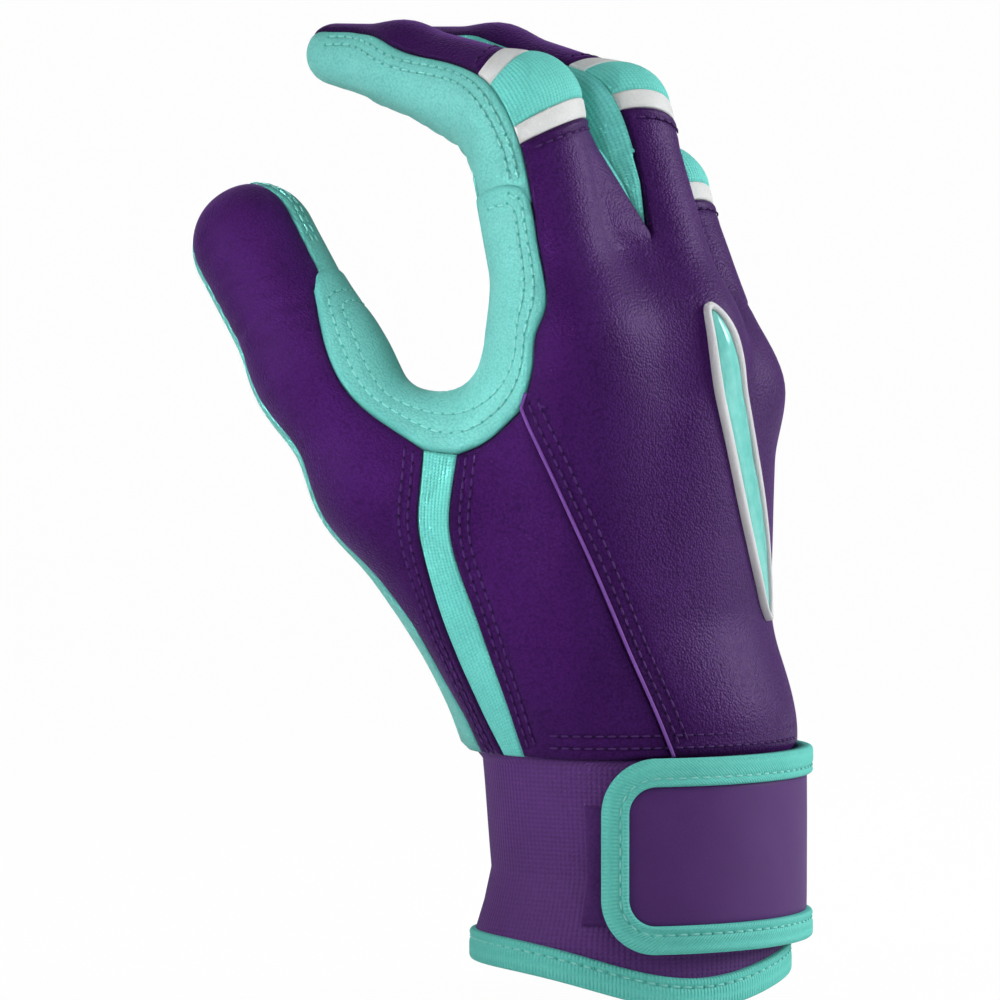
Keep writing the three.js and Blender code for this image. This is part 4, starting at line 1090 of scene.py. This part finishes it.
def front_side(name):
    """Mint front of a finger from the bend to round the tip, and the knit gussets beside it.

    The index finger's front also runs a little under the crotch patch and has twin rows of stitches.
    """
    bend_start, bend_end = BANDS[name]["bend_start"], BANDS[name]["bend_end"]
    knots, radii = FINGERS[name]["knots"], FINGERS[name]["radii"]
    bend_rows = mix(bend_start, bend_end, gathered(34, 0.4))
    tip_rows = mix(bend_end, TIP_CAP, gathered(30, 0.4))
    run = np.concatenate([bend_rows, tip_rows[1:]])[:, None]
    low, high = tip_edge(name, run)
    side_low, side_high = SIDE_EDGE[name]
    knit_low, knit_high = side_low < BACK_EDGE[name][0], side_high > BACK_EDGE[name][1]
    from_angle = np.full_like(run, side_high) if knit_high else high
    to_angle = np.full_like(run, side_low) if knit_low else low
    front = mix(from_angle, to_angle + 360, gathered(44)[None])
    cap = front[-1]
    sides = (("ulnar", knit_high, high, from_angle), ("radial", knit_low, to_angle, low))
    for side, wanted, start, end in sides:
        if wanted:
            angles = mix(start, end, gathered(16)[None])
            gusset = finger_point(name, run, angles)
            cloth(name + "_gusset_" + side + "_knit", name + "_gusset_" + side, [gusset],
                  BEND[name], 0.2, only=name, flush=[gusset[0]])
            last = angles[-1]
            cap = np.concatenate([last[:-1], cap] if side == "ulnar" else [cap, last[1:] + 360])
    sheets = [finger_point(name, run, front)]
    sheets.append(finger_point(name, TIP_CAP + spread(0, 1, 14)[:, None], cap[None]))
    sewing = []
    if name == "index":
        tucked = front[0][front[0] >= FRONT_EDGE[name][0] + 358]
        under = spread(bend_start - 0.2, bend_start, 10)[:, None]
        sheets.append(finger_point(name, under, tucked[None]))
        row = spread(bend_start - 0.1, 2.9, 92)
        width = np.interp(row, np.arange(4), radii)
        for inset in (2.0, 3.8):
            sewing.append(finger_point(name, row, tip_edge(name, row)[0] - np.degrees(inset / width)))
    bend_place, tip_place = knots[1] + [-9, 0, -5], knots[2] + [0, 0, -8]
    panel(name + "_front_leather", (name + "_bend_front", name + "_tip_front"), sheets,
          MINT_LEATHER, BEND[name], only=name, puff=0.2, stitches=sewing,
          flush=[finger_point(name, bend_start, spread(*seam_angles(name, FRONT_EDGE), 60))],
          creases=[(bend_place, (-0.8, 0, 0.6), 8, 4.5, 0.2), (tip_place, (1, 0, 0.1), 8, 5, 0.14)])
    if sewing:
        stitching(name + "_front_stitches", sewing, MINT_THREAD, MINT_HOLE_SHADE, BEND[name], 0.2, only=name)


def knit_wall(first, second):
    """Knit between two fingers: from their parting a wall goes up each finger's side to its bend."""
    at = gathered(22)
    foot = mix(crotch(first, second, BACK_EDGE), crotch(first, second, FRONT_EDGE), at[:, None])
    foot = settle(foot, rounds=2)
    foot = foot - 1.3 * slope(foot)
    walls = []
    for name, end in ((first, 1), (second, 0)):
        start, stop = CROTCH[name][end], BANDS[name]["bend_start"]
        run = mix(start, stop, gathered(40, 0.5))[:, None]
        tuck = (-5 if end else 5) * np.minimum(1, 2.5 * (stop - run) / (stop - start))
        turn = mix(BACK_EDGE[name][end] + tuck, FRONT_EDGE[name][end], at[None])
        p = round_point(name, run, turn)
        fade = mix(1.1 / (BANDS[name]["trim_start"] - start), 3 / (stop - start), at)[None]
        p = p + (foot - p[0])[None] * np.maximum(0, 1 - fade * (run - start))[..., None]
        walls.append(p)
    cloth("knit_wall_" + first + "_" + second, "gusset_" + first + "_" + second, walls,
          "hand", 0.1, lift=-0.2, flush=[wall[-1] for wall in walls])


for name in NAMES:
    bend_bands(name)
    tip_back(name)
    front_side(name)
for first, second in zip(NAMES, NAMES[1:]):
    knit_wall(first, second)
cloth("thumb_strip_knit", "thumb_strip", [strip], "hand", 0.25, lift=-0.25)


# Badge, cuff and strap

BADGE_FROM, BADGE_TO = np.array([21, 14.2, 67.0]), np.array([21, -9, 130.0])
BADGE_HALF, BADGE_RIM, BADGE_SINK = 5, 1.7, 0.2
# How high the rim and the plate stand at their edges, and how much more in the middle
RIM_LOW, RIM_ARCH, PLATE_LOW, PLATE_ARCH = 1.6, 0.6, 1.35, 0.9


def badge_point(turn, share, grow):
    """Point of an oval on the back of the hand: a long ellipse about the middle of its axis, settled."""
    along = BADGE_TO - BADGE_FROM
    length = np.linalg.norm(along) / 2
    along = unit(along)
    across = unit(np.cross([1.0, 0, 0], along))
    turn, share = np.broadcast_arrays(turn, share)
    p = (BADGE_FROM + BADGE_TO) / 2 + (np.cos(turn) * share * (length + grow))[..., None] * along
    return settle(p + (np.sin(turn) * share * (BADGE_HALF + grow))[..., None] * across, rounds=3)


# The rim is a half-round bead, the plate inside it a low pillow
around = spread(0, 2 * np.pi, 120)
s = skin([np.stack([badge_point(around, 1.0, grow) for grow in spread(-BADGE_RIM, 0, 8)])])
inward = np.minimum(s["margin"] / (BADGE_RIM / 2), 1)
arch = np.sqrt(np.clip(1 - (1 - inward) ** 2, 0, 1))
points, triangles = shell(s, RIM_LOW + RIM_ARCH * arch, BADGE_SINK)
put("badge_rim_rubber", points, triangles, BADGE_RUBBER, "hand", ("badge_rim",))
s = skin([badge_point(around[None], gathered(20, 0.3)[:, None], -BADGE_RIM)])
points, triangles = shell(s, PLATE_LOW + PLATE_ARCH * (1 - np.exp(-s["margin"] / 1.6)), BADGE_SINK)
put("badge_plate_gloss", points, triangles, BADGE_GLOSS, "hand", ("badge_plate",))

# Rows of the cuff from its top down: height, half depth, half width and shift to the thumb side
CUFF_ROWS = np.array([
    [40.5, 28.8, 33.6, 1.8], [35, 28.3, 33, 1.9], [18, 27.2, 31.6, 1.7],
    [11.5, 28, 32.6, 2.2], [5.5, 29.3, 34, 2.7], [-10, 29.4, 34.2, 2.8],
])
CUFF_TUCK, CUFF_TOP, CUFF_WALL, CUFF_MEAN, SHIFT_ANGLE = 5, 39.8, 1.6, 31, np.radians(-142)
HEM_WIDTH, HEM_MID, HEM_TILT, HEM_DIP, HEM_DIP_SPREAD, HEM_DIP_ANGLE = 5, -0.6, 1.6, 6.2, 42, -27
STRAP_FREE_ANGLE, STRAP_SEWN_ANGLE, STRAP_HEIGHT, STRAP_MID_Z = -61.5, 100, 38.4, 22.6
STRAP_STAND, STRAP_SHIFT, STRAP_WALL, STRAP_CORNER, BINDING = 5, 1.5, 1.6, 11, 5.6
TAPE_PITCH, TAPE_WALL = 2.6, 0.7
UPWARD = np.array([0, 0, 1.0])


def ellipse_point(z, angle, deep, wide, shift, grow):
    """Point of an ellipse round the wrist, grown outwards and shifted to the thumb side."""
    z, angle = np.broadcast_arrays(np.asarray(z, float), np.radians(angle))
    x = np.cos(angle) * (deep + grow) + np.cos(SHIFT_ANGLE) * shift
    y = np.sin(angle) * (wide + grow) + np.sin(SHIFT_ANGLE) * shift
    return np.stack([x, y, z], -1)


def cuff_sizes(z):
    """Half depth, half width and shift of the cuff at a height, straight between its rows."""
    return (np.interp(z, CUFF_ROWS[::-1, 0], CUFF_ROWS[::-1, k]) for k in (1, 2, 3))


def cuff_point(z, angle, grow=0.0):
    """Point of the cuff: an ellipse whose half widths and shift follow its height."""
    return ellipse_point(z, angle, *cuff_sizes(z), grow)


def hem_height(angle):
    """Height of the hem: a slight tilt, and a bell-shaped dip under the thumb side of the back."""
    turn = (angle - HEM_DIP_ANGLE + 180) % 360 - 180
    dip = HEM_DIP * np.exp(-((turn / HEM_DIP_SPREAD) ** 2))
    return HEM_MID - HEM_TILT * np.sin(np.radians(turn)) - dip


def away_from_axis(p):
    """Unit direction, level and outward from the wrist's middle line."""
    return unit(p * np.array([1, 1, 0]))


# The cuff tucks in under the leather above the wrist; its weave is the length round it and the height
turns = spread(120, 480, 240)
tuck = [hand_point(z, turns) for z in (WRIST_Z + CUFF_TUCK, WRIST_Z + 1)]
tuck = [p - slope(p) * CUFF_WALL for p in tuck]
below = [cuff_point(mix(CUFF_TOP, hem_height(turns), q), turns) for q in spread(0, 1, 70)]
cuff = np.stack([*tuck, *below])
s = skin([cuff], facing=away_from_axis)
p = s["points"]
rise = 0.3 * lattice(p * np.array([1, 1, 0.6]), 13, 7) * np.clip((40 - p[:, 2]) / 6, 0, 1)
points, triangles = shell(s, rise, CUFF_WALL)
girth = np.broadcast_to(np.radians(turns) * CUFF_MEAN, cuff.shape[:2])
weave = np.stack([girth, cuff[..., 2], 0 * girth], -1).reshape(-1, 3)[s["first"]]
put("cuff_neoprene", points, triangles, CUFF_KNIT, "hand", ("cuff_sleeve",),
    {"weave": np.vstack([weave, weave])})


def ringed(name, node, grid, along, round_it, material, body, closed=False):
    """A body from a row of rings, joined end to end or with fans for ends, facing out by its signed volume.

    Its weave is the lengths given along it and round it.
    """
    n, m = grid.shape[:2]
    ids = np.arange(n * m).reshape(n, m)
    ids = np.hstack([ids, ids[:, :1]])
    if closed:
        triangles = triangles_of(quads_of(np.vstack([ids, ids[:1]])))
    else:
        fan = np.stack([np.zeros(m - 2, int), np.arange(1, m - 1), np.arange(2, m)], 1)
        triangles = np.vstack([triangles_of(quads_of(ids)), fan[:, ::-1], fan + (n - 1) * m])
    points = grid.reshape(-1, 3)
    a, b, c = (points[triangles[:, k]] for k in range(3))
    if np.einsum("ij,ij->i", a, np.cross(b, c)).sum() < 0:
        triangles = triangles[:, ::-1]
    u, v = np.broadcast_arrays(along[:, None], round_it[None])
    weave = np.stack([u, v, 0 * u], -1).reshape(-1, 3)
    put(name, points, triangles, material, body, node, {"weave": weave})


def carried(path, out, up, profile):
    """Rings of a profile of outward and upward steps carried along a path."""
    return path[:, None] + out[:, None] * profile[None, :, :1] + up[:, None] * profile[None, :, 1:]


def tape_face(x, width, thick, groove, depth, narrow):
    """Height of a folded tape at shares x of its width: a flat arch, round shoulders and a sewn furrow."""
    arch = thick * (1 - (2 * x - 1) ** 8) ** 0.5
    return arch - depth * np.exp(-((x * width - groove) / narrow) ** 2)


# Cut edge of the leather along the fold seam, a thin round bead; its pale colour is partly the cut
# edge's own and partly a painted highlight on the raised fold
fold = settle(curve(back_seam, spread(0.02, 4.4, 140), (4,)), rounds=2)
fold_out = slope(fold)
fold_side = np.cross(unit(np.gradient(fold, axis=0)), fold_out)
turn = spread(0, 2 * np.pi, 8)[:-1]
bead = 0.36 * np.stack([np.cos(turn), np.sin(turn)], 1)
path = fold + 0.4 * fold_out + 0.15 * fold_side
ringed("fold_cut_edge_and_painted_highlight", (), carried(path, fold_out, fold_side, bead), running(path), running(bead),
       PURPLE_EDGE_HIGHLIGHT, "hand")

# Hem tape: over the outside from its lower edge up, over the fold and back inside
open_turns = turns[:-1]
path = cuff_point(hem_height(open_turns) - 1.2, open_turns, 0.2)
out = away_from_axis(path - path.mean(0))
width, share = HEM_WIDTH + 1.2, gathered(40, 0.6)
over = np.stack([tape_face(share, width, 1.0, 4.5, 0.34, 0.55), share * width], 1)
inside = np.stack([np.full(9, -CUFF_WALL - 1.6), np.linspace(width, 0, 9)], 1)
profile = np.vstack([over, inside])
ringed("hem_tape", ("cuff_hem_binding",), carried(path, out, np.tile(UPWARD, (len(path), 1)), profile),
       running(path), running(profile), BINDING_KNIT, "hand", closed=True)
sewing = cuff_point(hem_height(open_turns) + 3.3, open_turns, 0.85)
stitching("hem_stitches", [sewing], MINT_THREAD, MINT_HOLE_SHADE, "hand", 0.1, TAPE_PITCH, facing=away_from_axis)

STRAP_DEEP, STRAP_WIDE = (size + STRAP_STAND for size in list(cuff_sizes(STRAP_MID_Z))[:2])
STRAP_LENGTH = np.radians(STRAP_SEWN_ANGLE - STRAP_FREE_ANGLE) * (STRAP_DEEP + STRAP_WIDE) / 2


def strap_point(x, y, grow=0.0):
    """Point of the strap: x from its free end round the wrist, y up from its middle line."""
    angle = mix(STRAP_FREE_ANGLE, STRAP_SEWN_ANGLE, x / STRAP_LENGTH)
    return ellipse_point(STRAP_MID_Z + y, angle, STRAP_DEEP, STRAP_WIDE, STRAP_SHIFT, grow)


def strap_outline(inset, count):
    """Outline of the strap drawn in: sewn end along the top, round two corners, back along the bottom."""
    half, r = STRAP_HEIGHT / 2, STRAP_CORNER
    turn = np.radians(spread(90, 180, 24))
    top = np.stack([spread(STRAP_LENGTH, r, 96), np.full(97, half - inset)], 1)
    corner = np.stack([r + (r - inset) * np.cos(turn), half - r + (r - inset) * np.sin(turn)], 1)
    upper = np.vstack([top[:-1], corner])
    middle = np.stack([np.full(9, inset), spread(half - r, -(half - r), 10)[1:-1]], 1)
    line = np.vstack([upper, middle, upper[::-1] * np.array([1, -1])])
    return at_lengths(line, np.linspace(0, running(line)[-1], count))


# Face of the strap: half its outline, drawn over from the top edge to the bottom edge
half_edge = strap_outline(BINDING - 0.5, 520)[:260]
rows = np.stack([strap_point(half_edge[:, 0], half_edge[:, 1] * f) for f in spread(1, -1, 36)], 1)
s = skin([rows], facing=away_from_axis)
rise = -0.1 + 0.12 * lattice(s["points"], 12, 9) - 0.4 * rolled(s["margin"], 0.8)
points, triangles = shell(s, rise, STRAP_WALL)
put("strap_face_panel", points, triangles, STRAP_FACE, "strap", ("strap_panel",))

# Tape round the strap's edge, from the outline in by its width, in front and behind
outer, inner = strap_outline(0, 720), strap_outline(BINDING, 720)
share = gathered(34, 0.6)
band = outer[:, None] + (inner - outer)[:, None] * share[None, :, None]
face = tape_face(share, BINDING, 1.15, 3.9, 0.4, 0.5)
front = strap_point(band[..., 0], band[..., 1], face[None])
behind = band[:, ::-1][:, ::4]
under = strap_point(behind[..., 0], behind[..., 1], -STRAP_WALL - 0.25)
grid = np.concatenate([front, under], 1)
ridge = grid[:, len(share) // 2]
ringed("strap_tape", ("strap_binding",), grid, running(ridge), 0.25 * np.arange(grid.shape[1]),
       BINDING_KNIT, "strap")
sewing = strap_outline(3.9, 500)
stitching("strap_stitches", [strap_point(sewing[:, 0], sewing[:, 1], 0.75)], MINT_THREAD, MINT_HOLE_SHADE, "strap",
          0.1, TAPE_PITCH, facing=away_from_axis)


def pad(name, node, grid, material, body, drop, roll, wall):
    """A pad on a grid round the wrist: dropped, its edges rolled under, with the weave of the grid."""
    s = skin([grid], facing=away_from_axis)
    points, triangles = shell(s, -drop - rolled(s["margin"], roll), wall)
    weave = weave_of(grid).reshape(-1, 3)[s["first"]]
    put(name, points, triangles, material, body, (node,), {"weave": np.vstack([weave, weave])})


anchor = np.stack([strap_point(x, spread(15, -15, 20)) for x in STRAP_LENGTH + spread(0.4, 8, 12)])
hook = np.stack([strap_point(x, spread(12, -12, 30), -STRAP_WALL - 0.35) for x in spread(5, 32, 32)])
loop = np.stack([cuff_point(spread(32, 9, 30), a, 1.0) for a in spread(-68, 25, 90)])
pad("strap_anchor_knit", "strap_anchor", anchor, CUFF_KNIT, "hand", 0.2, 0.8, STRAP_WALL + 0.8)
pad("hook_tape", "hook_patch", hook, HOOK_TAPE, "strap", 0.05, 0.3, TAPE_WALL)
pad("loop_tape", "loop_patch", loop, LOOP_TAPE, "hand", 0.0, 0.4, TAPE_WALL)


# Stage, light and camera: a pale sweep, soft boxes round it, the photograph's three-quarter view

VIEW, TILT, DISTANCE = np.radians(38), np.radians(2), 1.25
RIGHT = np.array([np.cos(VIEW), np.sin(VIEW), 0])
TOWARD = np.array([np.sin(VIEW), -np.cos(VIEW), 0])
CENTRE = np.array([0, 0, 0.091]) - RIGHT * 0.029
FLOOR, SWEEP_AT, SWEEP_RADIUS = -8.2 * MM, 1.2, 0.8


def backdrop():
    """Floor that curves up into a wall behind the glove: a profile swept sideways."""
    x = np.linspace(-3, 3, 9)
    turn = np.linspace(0, np.pi / 2, 12)[1:]
    deep = SWEEP_AT + np.concatenate([[-4.2, 0], SWEEP_RADIUS * np.sin(turn), [SWEEP_RADIUS]])
    high = FLOOR + np.concatenate([[0, 0], SWEEP_RADIUS * (1 - np.cos(turn)), [4.0]])
    grid = x[None, :, None] * RIGHT - deep[:, None, None] * TOWARD + high[:, None, None] * UPWARD
    quads = quads_of(np.arange(len(deep) * len(x)).reshape(len(deep), len(x)))
    mesh = bpy.data.meshes.new("pale_sweep")
    mesh.from_pydata(grid.reshape(-1, 3).tolist(), [], quads.tolist())
    mesh.shade_smooth()
    sweep = bpy.data.objects.new("pale_sweep", mesh)
    bpy.context.scene.collection.objects.link(sweep)
    # Matt white paper, which the camera sees as white
    material, tree, shader = blank("white_paper")
    shader.inputs["Base Color"].default_value = linear("#f2f2f2")
    shader.inputs["Roughness"].default_value = 0.9
    path = add(tree, "LightPath")
    white = add(tree, "Emission", Color=(1, 1, 1, 1), Strength=1.0)
    seen = add(tree, "Math", TIMES, i0=path.outputs["Is Camera Ray"], i1=0.98)
    both = add(tree, "MixShader", i0=seen.outputs[0], i1=shader.outputs[0], i2=white.outputs[0])
    tree.links.new(both.outputs[0], tree.nodes["Material Output"].inputs["Surface"])
    mesh.materials.append(material)


def lamp(name, place, target, size, power, beam=180):
    """A square soft box of a size at a place, facing a target, its light kept within a beam in degrees."""
    data = bpy.data.lights.new(name, "AREA")
    data.size, data.energy, data.spread = size, power, np.radians(beam)
    made = bpy.data.objects.new(name, data)
    made.location = place
    made.rotation_euler = (Vector(target) - Vector(place)).to_track_quat("-Z", "Y").to_euler()
    bpy.context.scene.collection.objects.link(made)


backdrop()
lamp("right", CENTRE + RIGHT * 0.95 - TOWARD * 0.12 + UPWARD * 0.35, CENTRE, 0.5, 11.0)
lamp("left", CENTRE - RIGHT * 0.9 + TOWARD * 0.5 + UPWARD * 0.3, CENTRE, 0.6, 7.0)
lamp("front", CENTRE + TOWARD * 1.1 + RIGHT * 0.45 + UPWARD * 0.8, CENTRE, 0.9, 5.0)
lamp("thumb", CENTRE + TOWARD * 0.7 - RIGHT * 0.3 + UPWARD * 0.2, (-0.040, -0.048, 0.118), 0.12, 0.042, 9)
world = bpy.data.worlds.new("studio")
bpy.context.scene.world = world
world.use_nodes = True
world.node_tree.nodes["Background"].inputs["Color"].default_value = (1, 1, 1, 1)
world.node_tree.nodes["Background"].inputs["Strength"].default_value = 0.17

camera = bpy.data.cameras.new("camera")
camera.sensor_width, camera.lens = 36, 225
lens = bpy.data.objects.new("camera", camera)
lens.location = CENTRE + (TOWARD * np.cos(TILT) + UPWARD * np.sin(TILT)) * DISTANCE
lens.rotation_euler = (np.pi / 2 - TILT, 0, VIEW)
bpy.context.scene.collection.objects.link(lens)
bpy.context.scene.camera = lens
bpy.context.scene.view_settings.view_transform = "Standard"
